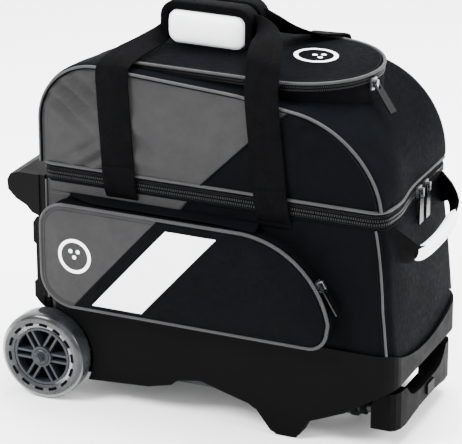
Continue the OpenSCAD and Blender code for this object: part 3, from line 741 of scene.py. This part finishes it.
def upper_panels():
    edge = profile(2.0 * MM)
    edge = edge[np.concatenate([[True], np.abs(np.diff(edge[:, 1])) + np.abs(np.diff(edge[:, 0])) > 1e-6])]
    heights = np.concatenate([np.linspace(ZIP + 15 * MM, 0.465, 40, endpoint=False), np.linspace(0.465, TOP - 2.4 * MM, 12)])
    for side, label in ((-1, "front"), (1, "back")):
        rows, index = [], []
        for z in heights:
            x0, x1 = panel_row_limits(z, edge)
            mid = float(np.clip(diagonal_x(z), x0, x1))
            if side > 0:
                mid = x0
            xs = np.concatenate([x0 + (mid - x0) * np.linspace(0, 1, 31), mid + (x1 - mid) * np.linspace(0, 1, 31)[1:]])
            row = []
            for x in xs:
                y = upper_surface(x, z)
                rim = min(abs(x - x0), abs(x1 - x), abs(TOP - z) + 0.002)
                y = -HALF + (y + HALF) * float(smooth(rim / 0.022))
                row.append(upper_sag(x, -side * y, z))
            rows.append(row)
        cols = 60
        index = ([0] * 30 + [1] * 30) * (len(heights) - 1)
        panel = grid(f"upper_{label}_panel", rows, [GREY if side < 0 else BLACK, BLACK], index, thick=2.5 * MM,
                     flip=side > 0, offset=-1 if side > 0 else -1)
        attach(panel, "upper")
    line = []
    for z in np.linspace(ZIP + 16 * MM, 0.467, 40):
        x = diagonal_x(z)
        line.append(upper_sag(x, upper_surface(x, z) - 0.6 * MM, z))
    pipe = tube("upper_diagonal_piping", line, 1.1 * MM, BLACK)
    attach(pipe, "upper")


def floor_pad():
    """Stiff floor of the shoe compartment, covered in lining."""
    lo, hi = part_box("upper_floor")
    rows = []
    for z, inset in ((lo.z, 1.5 * MM), (lo.z + 1.5 * MM, 0), (hi.z - 1.2 * MM, 0), (hi.z, 1.5 * MM)):
        rows.append([(x, y, z) for x, y in plan_loop(lo.x + inset, hi.x - inset, hi.y - inset, 18 * MM)])
    rows.append([(x * 0.02, y * 0.02, hi.z) for x, y in plan_loop(lo.x, hi.x, hi.y, 18 * MM)])
    rows.insert(0, [(x * 0.02, y * 0.02, lo.z) for x, y in plan_loop(lo.x, hi.x, hi.y, 18 * MM)])
    pad = grid("shoe_floor", rows, [LINING], closed=True)
    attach(pad, "upper")
    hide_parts("upper_floor")


# ------------------------------------------------------------------ lid
def lid_loop(inset=0.0, n_round=64, n_side=36, n_left=40, corner=8):
    """D-shaped outline, anticlockwise from the left end of the front."""
    r = LID_R - inset
    c = 24 * MM
    x0 = lid_lo.x + inset
    rc = c - inset
    pts = [(x0 + rc + (LID_X - x0 - rc) * i / n_side, -r) for i in range(n_side)]
    a = np.linspace(-math.pi / 2, math.pi / 2, n_round, endpoint=False)
    pts += [(LID_X + r * math.cos(t), r * math.sin(t)) for t in a]
    pts += [(LID_X + (x0 + rc - LID_X) * i / n_side, r) for i in range(n_side)]
    a = np.linspace(math.pi / 2, math.pi, corner, endpoint=False)
    pts += [(x0 + rc + rc * math.cos(t), r - rc + rc * math.sin(t)) for t in a]
    pts += [(x0, (r - rc) * (1 - 2 * i / n_left)) for i in range(n_left)]
    a = np.linspace(math.pi, 1.5 * math.pi, corner, endpoint=False)
    pts += [(x0 + rc + rc * math.cos(t), -r + rc + rc * math.sin(t)) for t in a]
    return np.array(pts)


def lid_height(x, y):
    """Crown of the lid's padded top."""
    dx = np.clip((x - lid_lo.x) / (lid_hi.x - lid_lo.x), 0, 1)
    return LID_EDGE + 7.5 * MM * hump(dx) ** 0.6 * hump((y + LID_R) / (2 * LID_R)) ** 0.6


def lid_top():
    rows = []
    for s in np.concatenate([np.linspace(0.02, 0.9, 22), [0.94, 0.97, 0.99, 1.0]]):
        row = []
        for x, y in lid_loop(1.2 * MM):
            px, py = 0.03 + (x - 0.03) * s, y * s
            dip = 0.9 * MM * ripple(px, py, 0, 0.05, 5.5) * (1 - s)
            soft = 2.2 * MM * max(0.0, (s - 0.94) / 0.06) ** 2
            row.append((px, py, float(lid_height(px, py)) * 1.0 - soft + dip))
        rows.append(row)
    # painted sheen: the lid's top takes the lighter black cloth
    top = grid("lid_top", rows, [BLACK_PAINTED_SHEEN], closed=True, flip=True)
    bm = bmesh.new()
    bm.from_mesh(top.data)
    bmesh.ops.contextual_create(bm, geom=[e for e in bm.edges if e.is_boundary and e.verts[0].co.z > LID_EDGE + 3 * MM])
    bm.to_mesh(top.data)
    bm.free()
    mod = top.modifiers.new("thickness", "SOLIDIFY")
    mod.thickness = 2.5 * MM
    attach(top, "lid")
    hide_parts("lid_panel")
    pipe = tube("lid_piping_cord", [(x, y, LID_EDGE + 0.4 * MM) for x, y in lid_loop(0)], PIPE, PIPING, closed=True)
    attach(pipe, "lid")
    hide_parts("lid_piping")
    seam = [(x, y, float(lid_height(x, y)) + 0.3 * MM) for x, y in lid_loop(6 * MM)]
    sew = stitches("lid_sew", seam, np.tile([0, 0, 1], (len(seam), 1)), THREAD_GREY)
    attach(sew, "lid")


def band_height(x, y):
    """Height of the shoe compartment's top under the lid's edge."""
    p = profile()
    top = p[:, 1].argmax()
    z = np.where(x > p[top, 0], np.interp(x, p[top:, 0], p[top:, 1]), np.interp(x, p[: top + 1, 0], p[: top + 1, 1]))
    return upper_sag(x, y, z)[2]


def lid_gusset():
    """Collar between the top and the lid, with the lid's zip round it."""
    seam_z = LID_EDGE - 6.5 * MM
    loop = lid_loop(0.8 * MM)
    rows = []
    for t in np.linspace(0, 1, 8):
        rows.append([(x, y, min(band_height(x, y) - 4 * MM, seam_z) * (1 - t) + (seam_z - 0.4 * MM) * t)
                     for x, y in loop])
    collar = grid("lid_collar", rows, [TAPE], closed=True, thick=2 * MM)
    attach(collar, "upper")
    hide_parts("lid_rim")
    rows = [[(x, y, seam_z + 0.3 * MM + 5.5 * MM * t) for x, y in loop] for t in np.linspace(0, 1, 4)]
    skirt = grid("lid_skirt", rows, [TAPE], closed=True, thick=1.5 * MM)
    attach(skirt, "lid")
    outline = lid_loop(0.4 * MM)
    ahead = np.roll(outline, -1, 0) - np.roll(outline, 1, 0)
    out = np.stack([ahead[:, 1], -ahead[:, 0], np.zeros(len(outline))], 1)
    front = np.array([(x > lid_lo.x + 4 * MM) for x, y in outline])
    order = np.flatnonzero(front)
    start = int(np.argmax(np.diff(order) > 1)) + 1 if (np.diff(order) > 1).any() else 0
    order = np.roll(order, -start)
    for body, dz, shift in (("upper", -2.0, False), ("lid", 2.0, True)):
        path = np.column_stack([outline[order], np.full(len(order), seam_z + dz * MM)])
        zip_teeth(f"lid_zip_teeth_{body}", path, out[order], body, 2.8 * MM,
                  (1.7 * MM, 3.4 * MM, 2.0 * MM), shift=shift)
    welt = tube("lid_collar_welt", [(x, y, band_height(x, y) + 1.2 * MM) for x, y in lid_loop(-1.0 * MM)],
                1.6 * MM, BLACK, closed=True)
    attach(welt, "upper")


# ------------------------------------------------------------------ front pocket
def pocket_outline(inset=0.0, per=14):
    """Closed outline in X and Z, anticlockwise seen from the front."""
    top, bottom = flap_hi.z, flap_lo.z
    def arc(cx, cz, r, a0, a1, n):
        return [(cx + (r - inset) * math.cos(a), cz + (r - inset) * math.sin(a))
                for a in np.radians(np.linspace(a0, a1, n))]
    x0 = flap_lo.x
    pts = arc(x0 + 34 * MM, top - 34 * MM, 34 * MM, 90, 180, per)
    pts += arc(x0 + 46 * MM, bottom + 46 * MM, 46 * MM, 180, 270, per)
    pts += arc(168 * MM, bottom + 26 * MM, 26 * MM, 270, 350, per)
    pts += arc(66 * MM, 162 * MM, 132 * MM, 10, 90, 3 * per)
    return np.array(pts)


def pocket_limits(z, outline):
    """Left and right ends of the pocket at a height."""
    xs = []
    closed = np.vstack([outline, outline[:1]])
    for (xa, za), (xb, zb) in zip(closed[:-1], closed[1:]):
        if (za - z) * (zb - z) <= 0 and abs(za - zb) > 1e-9:
            xs.append(xa + (xb - xa) * (z - za) / (zb - za))
    return min(xs), max(xs)


POCKET_Y = flap_lo.y


def pocket_y(x, z, outline):
    d = float(np.min(np.hypot(outline[:, 0] - x, outline[:, 1] - z)))
    swell = 1 - (1 - min(1.0, d / 0.055)) ** 2.2
    return POCKET_Y + 2 * MM - 7.5 * MM * swell - 0.8 * MM * ripple(x, 0, z, 0.045, 9.1) * min(1, d / 0.02)


def seam_x(z, start):
    return start + 0.885 * (z - flap_lo.z)


GREY_EDGE, WHITE_LEFT, WHITE_RIGHT = -0.178, -0.154, -0.080


def pocket_front():
    outline = resample(np.vstack([pocket_outline(0), pocket_outline(0)[:1]]), 2.5 * MM)
    zs = np.linspace(flap_lo.z + 0.6 * MM, flap_hi.z - 0.6 * MM, 62)
    rows, index = [], []
    parts = (22, 8, 20, 34)
    for z in zs:
        x0, x1 = pocket_limits(z, outline)
        stops = [x0] + [float(np.clip(seam_x(z, s), x0, x1)) for s in (GREY_EDGE, WHITE_LEFT, WHITE_RIGHT)] + [x1]
        xs = [x0]
        for n, a, b in zip(parts, stops[:-1], stops[1:]):
            xs += list(np.linspace(a, b, n + 1)[1:])
        rows.append([(x, pocket_y(x, z, outline), z) for x in xs])
    for i in range(len(zs) - 1):
        white = flap_lo.z + 6.5 * MM < zs[i] < flap_hi.z - 13 * MM
        index += [0] * parts[0] + [1] * parts[1] + [2 if white else 1] * parts[2] + [1] * parts[3]
    panel = grid("pocket_panel", rows, [GREY, BLACK, WHITE], index, thick=2 * MM)
    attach(panel, "pocket_flap")
    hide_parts("pocket_flap")
    ring = pocket_outline(-0.6 * MM, per=18)
    pipe = tube("pocket_piping_cord", [(x, POCKET_Y + 2.2 * MM, z) for x, z in ring], PIPE * 1.05, PIPING, closed=True)
    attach(pipe, "pocket_flap")
    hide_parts("pocket_piping")
    for k, s in enumerate((GREY_EDGE, WHITE_LEFT, WHITE_RIGHT)):
        path = []
        for z in np.linspace(flap_lo.z + 5 * MM, flap_hi.z - 5 * MM, 40):
            x = seam_x(z, s) + (1.6 if k != 1 else -1.6) * MM
            x0, x1 = pocket_limits(z, outline)
            if x0 + 4 * MM < x < x1 - 4 * MM:
                path.append((x, pocket_y(x, z, outline) - 0.2 * MM, z))
        sew = stitches(f"pocket_sew_{k}", path, np.tile([0, -1, 0], (len(path), 1)), THREAD)
        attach(sew, "pocket_flap")
    inner = pocket_outline(6 * MM, per=18)
    path = [(x, pocket_y(x, z, outline) - 0.25 * MM, z) for x, z in np.vstack([inner, inner[:1]])]
    sew = stitches("pocket_edge_sew", path, np.tile([0, -1, 0], (len(path), 1)), THREAD)
    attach(sew, "pocket_flap")


def pocket_sides():
    """Side wall: the outer half goes with the front panel, the inner half stays, and the zip runs between."""
    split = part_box("pocket_gusset")[0].y
    loop = pocket_outline(1.2 * MM, per=18)
    back_y = -HALF + 1 * MM
    half_1 = [[(x, y, z) for x, z in loop] for y in np.linspace(split + 0.4 * MM, back_y, 7)]
    inner = grid("pocket_inner_wall", half_1, [BLACK], closed=True, thick=1.6 * MM)
    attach(inner, "root")
    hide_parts("pocket_gusset")
    half_2 = [[(x, y, z) for x, z in loop] for y in np.linspace(POCKET_Y + 3 * MM, split - 0.4 * MM, 5)]
    outer = grid("pocket_outer_wall", half_2, [BLACK], closed=True, thick=1.6 * MM)
    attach(outer, "pocket_flap")
    edge = pocket_outline(0.6 * MM, per=40)
    ahead = np.roll(edge, -1, 0) - np.roll(edge, 1, 0)
    out = np.stack([ahead[:, 1], np.zeros(len(edge)), -ahead[:, 0]], 1)
    out *= -1 if np.dot(out[len(edge) // 2], [edge[len(edge) // 2, 0], 0, edge[len(edge) // 2, 1] - 0.22]) < 0 else 1
    run = [i for i, (x, z) in enumerate(edge) if x > 40 * MM or z > flap_hi.z - 20 * MM]
    jump = [k for k in range(1, len(run)) if run[k] != run[k - 1] + 1]
    run = run[jump[0]:] + run[: jump[0]] if jump else run
    for body, dy, shift in (("root", 2.2, False), ("pocket_flap", -2.2, True)):
        path = np.array([(edge[i, 0], split + dy * MM, edge[i, 1]) for i in run])
        zip_teeth(f"pocket_teeth_{body}", path, out[run], body, 2.6 * MM, (1.5 * MM, 3.2 * MM, 1.8 * MM), shift=shift)
    # rain flap above the pocket's zip
    rows = []
    for t in np.linspace(0, 1, 7):
        row = []
        for x in np.linspace(-0.192, 0.088, 80):
            sink = 3 * MM * float(smooth((x - 0.02) / 0.065))
            y = front_y(x, 0.302) - 0.4 * MM - 0.0165 * t * (0.15 + 0.85 * float(smooth((x + 0.192) / 0.045)))
            z = 0.3022 - 5.2 * MM * t ** 1.5 - sink * t
            row.append((x, y, z))
        rows.append(row)
    flap = grid("pocket_rain_flap", rows, [BLACK], thick=1.2 * MM)
    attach(flap, "root")


def generic_mark(name, centre, radius, right, up, body, surface=None):
    """Printed ring with three dots, like a plain ball."""
    def disc(cu, cv, r0, r1, n):
        a = np.linspace(0, 2 * math.pi, n, endpoint=False)
        return [[(cu + r * math.cos(t), cv + r * math.sin(t)) for t in a] for r in np.linspace(r0, r1, 3)]
    right, up = np.array(right, float), np.array(up, float)
    out = np.cross(right, up)
    parts = [disc(0, 0, radius * 0.8, radius, 48)]
    for u, v in ((-0.22, 0.28), (0.22, 0.28), (0.0, -0.06)):
        parts.append(disc(u * radius, v * radius, radius * 0.01, radius * 0.12, 20))
    for k, part in enumerate(parts):
        rows = []
        for ring in part:
            row = []
            for u, v in ring:
                p = np.array(centre) + right * u + up * v
                row.append(surface(p) if surface else tuple(p + out * 0.3 * MM))
            rows.append(row)
        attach(grid(f"{name}_{k}", rows, [MARK], closed=True), body)


def marks():
    outline = resample(pocket_outline(0), 2.5 * MM)
    generic_mark("pocket_mark", (-0.170, 0, 0.226), 25 * MM, (1, 0, 0), (0, 0, 1), "pocket_flap",
                 lambda p: (p[0], pocket_y(p[0], p[2], outline) - 0.35 * MM, p[2]))
    generic_mark("lid_mark", (0.112, 0.004, 0), 30 * MM, (0, -1, 0), (1, 0, 0), "lid",
                 lambda p: (p[0], p[1], float(lid_height(p[0], p[1])) + 0.35 * MM))


# ------------------------------------------------------------------ webbing
LOOPS = {
    ("front", "left"): [
        ((-122, -119, 496), (47, -3, -1)), ((-116, -97, 502.5), (41, -13, -6)), ((-106, -66, 508), (30, -17, -10)),
        ((-97, -40, 513), (16, -12, -20)), ((-89, -21, 521), (5, -3, -27)), ((-70, -16.5, 531), (0, 0, -32)),
        ((-34, -16.5, 534), (0, 0, -38))],
    ("front", "right"): [
        ((88.5, -122, 505), (48, 0, 2)), ((86, -112, 524), (48, 2, -2)), ((79, -88, 537), (42, 10, 8)),
        ((64, -58, 541), (27, 16, 16)), ((47, -34, 539), (11, 10, 27)), ((33, -19, 536), (0, 3, 31)),
        ((12, -16.5, 534), (0, 0, 34)), ((-30, -16.5, 534), (0, 0, 38))],
    ("back", "left"): [
        ((-120, 120, 488), (47, 3, -1)), ((-114, 99, 500), (42, 10, -4)), ((-108, 70, 507.5), (34, 16, -8)),
        ((-100, 42, 514), (20, 14, -18)), ((-90, 22, 524), (6, 4, -27)), ((-70, 16.5, 531), (0, 0, -32)),
        ((-34, 16.5, 534), (0, 0, -38))],
    ("back", "right"): [
        ((89, 119, 495), (48, 0, 2)), ((84, 98, 499.5), (46, -6, 3)), ((71, 69, 506), (39, -13, 8)),
        ((57, 41, 518), (27, -15, 16)), ((44, 24, 529), (12, -8, 27)), ((30, 17.5, 536), (0, -2, 32)),
        ((10, 16.5, 536), (0, 0, 34)), ((-30, 16.5, 534), (0, 0, 38))],
}


def strap_route(side, leg):
    """Rows of centre and width vector for one leg of a carry loop, from its sewn foot to the grip."""
    w = 48 * MM
    foot, top = (-0.113, -0.125) if leg == "left" else (0.1095, 0.0895)
    y = HALF + 2.5 * MM
    lean = (top - foot) / 0.19
    rows = [((foot + lean * (z - 0.300), side * (y + out * MM), z), (w, 0, 0)) for z, out in (
        (0.3055, -3.2), (0.3095, -0.4), (0.322, 4.2), (0.341, 5.6), (0.386, 5.4), (0.446, 5.2), (0.484, 2.5))]
    label = "front" if side < 0 else "back"
    rows += [(tuple(v * MM for v in c), tuple(v * MM for v in u)) for c, u in LOOPS[label, leg]]
    return curve_through([(*c, *u) for c, u in rows], per=9)


STRAP_CUT = 0.352


def carry_straps():
    for side, label in ((-1, "front"), (1, "back")):
        body = f"{label}_strap"
        first = None
        for leg in ("left", "right"):
            r = strap_route(side, leg)
            cut = int(np.argmax(r[:, 2] > STRAP_CUT))
            foot = ribbon(f"{label}_{leg}_strap_foot", r[: cut + 1, :3], r[: cut + 1, 3:], 2.4 * MM, WEB)
            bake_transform(foot)
            rest = ribbon(f"{label}_{leg}_strap", r[cut:, :3], r[cut:, 3:], 2.4 * MM, WEB)
            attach(rest, body)
            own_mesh(rest)
            if first is None:
                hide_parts(body)
                first = rest
        # webbing patches under the sewn feet
        for leg, foot_x in (("left", -0.1125), ("right", 0.109)):
            rows = [[(x, body_point(x, side * HALF, z)[1] + side * 0.8 * MM, z)
                     for x in np.linspace(foot_x - 24 * MM, foot_x + 24 * MM, 24)]
                    for z in np.linspace(0.2995, 0.3115, 5)]
            patch = grid(f"{label}_{leg}_strap_patch", rows, [WEB], thick=1.0 * MM, flip=side > 0)
            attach(patch, "root")
            if side < 0 and leg == "left":
                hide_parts("strap_patches")


def pillow(name, lo, hi, corner, fill, materials, nu=46, nv=26):
    """Crowned pad with round corners, thickest in the middle, in the XZ plane."""
    cx, cz = (lo.x + hi.x) / 2, (lo.z + hi.z) / 2
    cy, depth = (lo.y + hi.y) / 2, (hi.y - lo.y) / 2
    hx, hz = (hi.x - lo.x) / 2, (hi.z - lo.z) / 2
    loop = []
    for sx, sz, a0 in ((1, 1, 0), (-1, 1, 90), (-1, -1, 180), (1, -1, 270)):
        for a in np.radians(np.linspace(a0, a0 + 90, 10, endpoint=False)):
            loop.append((sx * (hx - corner) + corner * math.cos(a), sz * (hz - corner) + corner * math.sin(a)))
    loop = np.array(loop)
    loop = resample(np.vstack([loop, loop[:1]]), 3 * MM)[:-1]
    rows = []
    for s in np.concatenate([np.linspace(0.02, 1, 14), np.linspace(1, 0.02, 14)[1:]]):
        rows.append(s)
    half = len(rows) // 2
    pts = []
    for k, s in enumerate(rows):
        side = -1 if k <= half else 1
        h = depth * (1 - s ** 4) ** 0.5 if s < 1 else 0
        pts.append([(cx + x * s, cy + side * h * (0.75 + 0.25 * fill), cz + z * s) for x, z in loop])
    return grid(name, pts, materials, closed=True, flip=True)


def swell(obj, pressure, cap, voxel=4 * MM):
    """Inflate a pad with cloth simulation and apply the result."""
    mod = obj.modifiers.new("remesh", "REMESH")
    mod.mode = "VOXEL"
    mod.voxel_size = voxel
    bpy.context.view_layer.objects.active = obj
    apply_modifiers(obj)
    rest = np.array([v.co for v in obj.data.vertices], float)
    cloth_mod = obj.modifiers.new("cloth", "CLOTH")
    cloth_mod.settings.use_pressure = True
    cloth_mod.settings.uniform_pressure_force = pressure
    cloth_mod.settings.effector_weights.gravity = 0
    cloth_mod.settings.quality = 5
    scene = bpy.context.scene
    for f in range(1, 21):
        scene.frame_set(f)
    apply_modifiers(obj)
    scene.frame_set(1)
    co = np.array([v.co for v in obj.data.vertices], float)
    move = co - rest
    far = np.linalg.norm(move, axis=1, keepdims=True)
    co = rest + move * np.minimum(1, cap / np.maximum(far, 1e-9))
    obj.data.vertices.foreach_set("co", co.astype(np.float32).ravel())
    obj.data.update()
    sub = obj.modifiers.new("smooth", "SUBSURF")
    sub.levels = sub.render_levels = 1
    apply_modifiers(obj)
    obj.data.polygons.foreach_set("use_smooth", np.ones(len(obj.data.polygons), bool))


def apply_modifiers(obj):
    deps = bpy.context.evaluated_depsgraph_get()
    done = bpy.data.meshes.new_from_object(obj.evaluated_get(deps))
    obj.modifiers.clear()
    obj.data = done


def grip_pads():
    for side, label in ((-1, "front"), (1, "back")):
        lo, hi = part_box(f"{label}_grip_pad")
        forward = 13 * MM if side < 0 else 0
        lo = Vector((lo.x + 2 * MM, lo.y - forward, lo.z - 5 * MM))
        hi = Vector((hi.x - 2 * MM, hi.y - forward, hi.z - 10 * MM))
        face = WHITE if side < 0 else BLACK
        pad = pillow(f"{label}_grip", lo, hi, 15 * MM, 0.7, [face])
        swell(pad, 3.0, 3 * MM)
        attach(pad, f"{label}_strap")
        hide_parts(f"{label}_grip_pad")
        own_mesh(pad)
        # webbing binding round both ends and the top
        c = 17 * MM
        y = (lo.y + hi.y) / 2 + forward / 2
        x0, x1, top = lo.x - 3.5 * MM, hi.x + 4 * MM, hi.z + 6 * MM
        path = [(x0, lo.z + 4 * MM)]
        path += [(x0 + c + c * math.cos(a), top - c + c * math.sin(a)) for a in np.radians(np.linspace(180, 90, 9))]
        path += [(x1 - c + c * math.cos(a), top - c + c * math.sin(a)) for a in np.radians(np.linspace(90, 0, 9))]
        path += [(x1, lo.z + 4 * MM)]
        path = resample([(x, y, z) for x, z in path], 4 * MM)
        widths = np.tile([0, 26 * MM, 0], (len(path), 1))
        bound = ribbon(f"{label}_grip_binding", path, widths, 11 * MM, BINDING)
        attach(bound, f"{label}_strap")
        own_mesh(bound)


def end_handle():
    """Webbing bow that droops, with a white roll along its lower edge."""
    x_end = body_x1(0.29) * 1000
    rows = [
        ((x_end + 1.5, -102, 291), (0, 0, 46)), ((x_end + 5, -93, 288), (2, 2, 45)),
        ((x_end + 14, -79, 277), (5, 4, 38)), ((x_end + 24, -63, 267), (8, 3, 26)),
        ((x_end + 30, -42, 265), (9, 1, 20)), ((x_end + 35, -8, 269), (9, 0, 19)),
        ((x_end + 37, 24, 275), (9, -1, 19)), ((x_end + 36, 50, 282), (11, -2, 18)),
        ((x_end + 32, 68, 293), (14, -5, 18)), ((x_end + 20, 84, 303), (9, -8, 28)),
        ((x_end + 6, 98, 303), (2, -3, 42)), ((x_end - 3.5, 110, 300), (0, 0, 46)),
    ]
    r = curve_through([tuple(v * MM for v in (*c, *u)) for c, u in rows], per=8)
    bow = ribbon("end_bow", r[:, :3], r[:, 3:], 2.6 * MM, WEB)
    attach(bow, "side_handle")
    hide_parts("side_handle")
    held = r[(r[:, 1] > -0.062) & (r[:, 1] < 0.056)]
    ahead = np.gradient(held[:, :3], axis=0)
    up = held[:, 3:] / np.linalg.norm(held[:, 3:], axis=1, keepdims=True)
    out = np.cross(ahead, up)
    out /= np.linalg.norm(out, axis=1, keepdims=True)
    full = (1 - np.linspace(-1, 1, len(held)) ** 8)[:, None]
    rows = []
    for a in np.linspace(0, 2 * np.pi, 22, endpoint=False):
        rows.append(held[:, :3] + up * (11.5 * MM * math.cos(a)) * (0.7 + 0.3 * full)
                    + out * (8.5 * MM * math.sin(a)) * (0.4 + 0.6 * full))
    rows = np.array(rows).transpose(1, 0, 2)
    pad = grid("end_bow_pad", rows, [WHITE], closed=True)
    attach(pad, "side_handle")
    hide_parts("side_handle_pad")


# ------------------------------------------------------------------ wheels
def lathe(name, section, centre, materials, index=None, steps=96):
    """Turns a section of (radius, across) about the wheel's axis."""
    rows = []
    for r, y in section:
        rows.append([(centre[0] + r * math.cos(a), centre[1] + y, centre[2] + r * math.sin(a))
                     for a in np.linspace(0, 2 * math.pi, steps, endpoint=False)])
    return grid(name, rows, materials, index, closed=True)


def wheels():
    for side, label in ((-1, "front"), (1, "back")):
        lo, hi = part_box(f"{label}_tyre")
        c = ((lo.x + hi.x) / 2, (lo.y + hi.y) / 2, (lo.z + hi.z) / 2)
        half = (hi.y - lo.y) / 2
        R = WHEEL_R
        body = f"{label}_wheel"
        core = 43.2 * MM
        section = [(core, -half + 3 * MM), (46 * MM, -half + 1.2 * MM), (50 * MM, -half + 0.2 * MM), (54 * MM, -half + 0.6 * MM)]
        for a in np.radians(np.linspace(-80, 80, 15)):
            section.append((R - 9 * MM + 9 * MM * math.cos(a), (half - 9 * MM) * (1 if a > 0 else -1) * min(1, abs(a) * 4)
                            + 9 * MM * math.sin(a)))
        section += [(54 * MM, half - 0.6 * MM), (50 * MM, half - 0.2 * MM), (46 * MM, half - 1.2 * MM), (core, half - 3 * MM),
                    (core, -half + 3 * MM)]
        tyre = lathe(f"{label}_tyre_skin", section, c, [TYRE])
        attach(tyre, body)
        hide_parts(f"{label}_tyre")
        inside = lathe(f"{label}_tyre_core", [(core + 0.3 * MM, -half + 5 * MM), (49 * MM, -half + 4 * MM), (52 * MM, -half + 8 * MM),
                                             (52 * MM, half - 8 * MM), (49 * MM, half - 4 * MM), (core + 0.3 * MM, half - 5 * MM)],
                       c, [HUB])
        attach(inside, body)
        # moulded windows round the rim, on both faces: painted shade, flat near-black slots laid on the faces where the
        # openings look dark
        for face in (-1, 1):
            verts, faces = [], []
            for k in range(14):
                a0 = 2 * math.pi * k / 14
                n = 7
                for j in range(n):
                    a = a0 + 0.26 * j / (n - 1)
                    for r in (46.6 * MM, 50.6 * MM):
                        verts.append((c[0] + r * math.cos(a), c[1] + face * (half + 0.12 * MM), c[2] + r * math.sin(a)))
                base = k * n * 2
                faces += [(base + 2 * j, base + 2 * j + 1, base + 2 * j + 3, base + 2 * j + 2) for j in range(n - 1)]
            slots = mesh_object(f"{label}_rim_window_shade_{'out' if face == side else 'in'}", verts, faces, [HUB_PAINTED_SHADE])
            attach(slots, body)
        # painted shade: a near-black disc behind the spokes, so the gaps between them look shadowed
        web = lathe(f"{label}_hub_spoke_shade", [(14.5 * MM, 0.0), (38.6 * MM, 0.0), (38.6 * MM, 2.5 * MM), (14.5 * MM, 2.5 * MM)], c, [HUB_PAINTED_SHADE])
        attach(web, body)
        cap = lathe(f"{label}_hub_cap", [(0.5 * MM, side * (half + 3.4 * MM)), (4 * MM, side * (half + 3.2 * MM)),
                                         (9.5 * MM, side * (half + 2.2 * MM)), (11.5 * MM, side * (half + 0.6 * MM)),
                                         (12.2 * MM, side * (half - 1.5 * MM))], c, [HUB])
        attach(cap, body)


# ------------------------------------------------------------------ inside
def inside():
    lo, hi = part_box("ball_divider")
    rows = list(np.linspace(0.02, 1, 12)) + list(np.linspace(1, 0.02, 12)[1:])
    cz = (lo.z + hi.z) / 2
    hy, hz, c = hi.y - 4 * MM, (hi.z - lo.z) / 2, 22 * MM
    loop = []
    for sy, sz, a0 in ((1, 1, 0), (-1, 1, 90), (-1, -1, 180), (1, -1, 270)):
        for a in np.radians(np.linspace(a0, a0 + 90, 10, endpoint=False)):
            loop.append((sy * (hy - c) + c * math.cos(a), sz * (hz - c) + c * math.sin(a)))
    loop = np.array(loop)
    pts = []
    for k, s in enumerate(rows):
        side = -1 if k <= len(rows) // 2 else 1
        h = 4 * MM * max(0.0, 1 - s ** 6) ** 0.5
        pts.append([((lo.x + hi.x) / 2 + side * h, y * s, cz + z * s) for y, z in loop])
    pad = grid("divider_pad", pts, [LINING], closed=True)
    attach(pad, "root")
    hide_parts("ball_divider")
    lo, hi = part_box("ball_cups")
    first = None
    for k, x in enumerate((-0.112, 0.122)):
        section = [(1 * MM, 6 * MM), (30 * MM, 10.3 * MM), (55 * MM, 20.9 * MM), (68 * MM, 28.5 * MM), (75 * MM, 30 * MM),
                   (83 * MM, 29 * MM), (86 * MM, 25 * MM), (86 * MM, 2 * MM), (84 * MM, 0.2 * MM)]
        rows = [[(x + r * math.cos(a), r * math.sin(a), lo.z + z) for a in np.linspace(0, 2 * math.pi, 72, endpoint=False)]
                for r, z in section]
        cup = grid(f"ball_cup_{k}", rows, [FOAM], closed=True, flip=True)
        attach(cup, "root")
        if first is None:
            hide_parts("ball_cups")
            first = cup


# ------------------------------------------------------------------ hard parts kept from the frame
def hard_parts():
    for node, material, width in (
        ("base_tray", TRAY, 1.4), ("end_frame", STAND, 2.2), ("end_stand", STAND, 3.5), ("pull_grip", TRAY, 3.0),
        ("axle_brackets", TRAY, 1.0), ("tube_saddles", TRAY, 1.0), ("outer_collars", TRAY, 0.6),
        ("middle_collars", TRAY, 0.6), ("foot_pads", RUBBER, 0.8), ("release_button", STAND, 1.2),
        ("bottom_board", BOARD, 1.0), ("front_hub", HUB, 0.5), ("back_hub", HUB, 0.5), ("axle", STEEL, 0.3),
        ("axle_bolts", HUB, 0.5), ("front_bearings", STEEL, 0.3), ("back_bearings", STEEL, 0.3),
        ("outer_tubes", TUBE_PAINT, 0.3), ("middle_tubes", TUBE_PAINT, 0.3), ("inner_tubes", TUBE_PAINT, 0.3),
        ("saddle_screws", STEEL, 0.2), ("stand_screws", STEEL, 0.3), ("grip_screws", STEEL, 0.3),
        ("button_spring", STEEL, 0.2), ("main_slider_front", STEEL, 0.4), ("main_slider_back", STEEL, 0.4),
        ("lid_slider", STEEL, 0.4), ("pocket_slider", STEEL, 0.4), ("main_pull_front", GLOSS, 0.6),
        ("main_pull_back", GLOSS, 0.6), ("lid_pull", GLOSS, 0.6), ("pocket_pull", GLOSS, 0.6),
    ):
        paint(node, material)
        bevelled(node, width * MM)


stage()
hard_parts()
lower_body()
corner_pipes()
front_patch("grey_strip", [(LEFT + 8 * MM, -0.016 - (0.3185 - z) * 0.73, z) for z in np.linspace(0.3015, 0.3185, 6)], GREY)
front_patch("grey_corner", [(LEFT + 8 * MM, -0.190 - (0.3015 - z), z) for z in np.linspace(0.272, 0.3015, 8)], GREY)
main_zip()
upper_band()
upper_panels()
floor_pad()
lid_top()
lid_gusset()
pocket_front()
pocket_sides()
marks()
carry_straps()
grip_pads()
end_handle()
wheels()
inside()
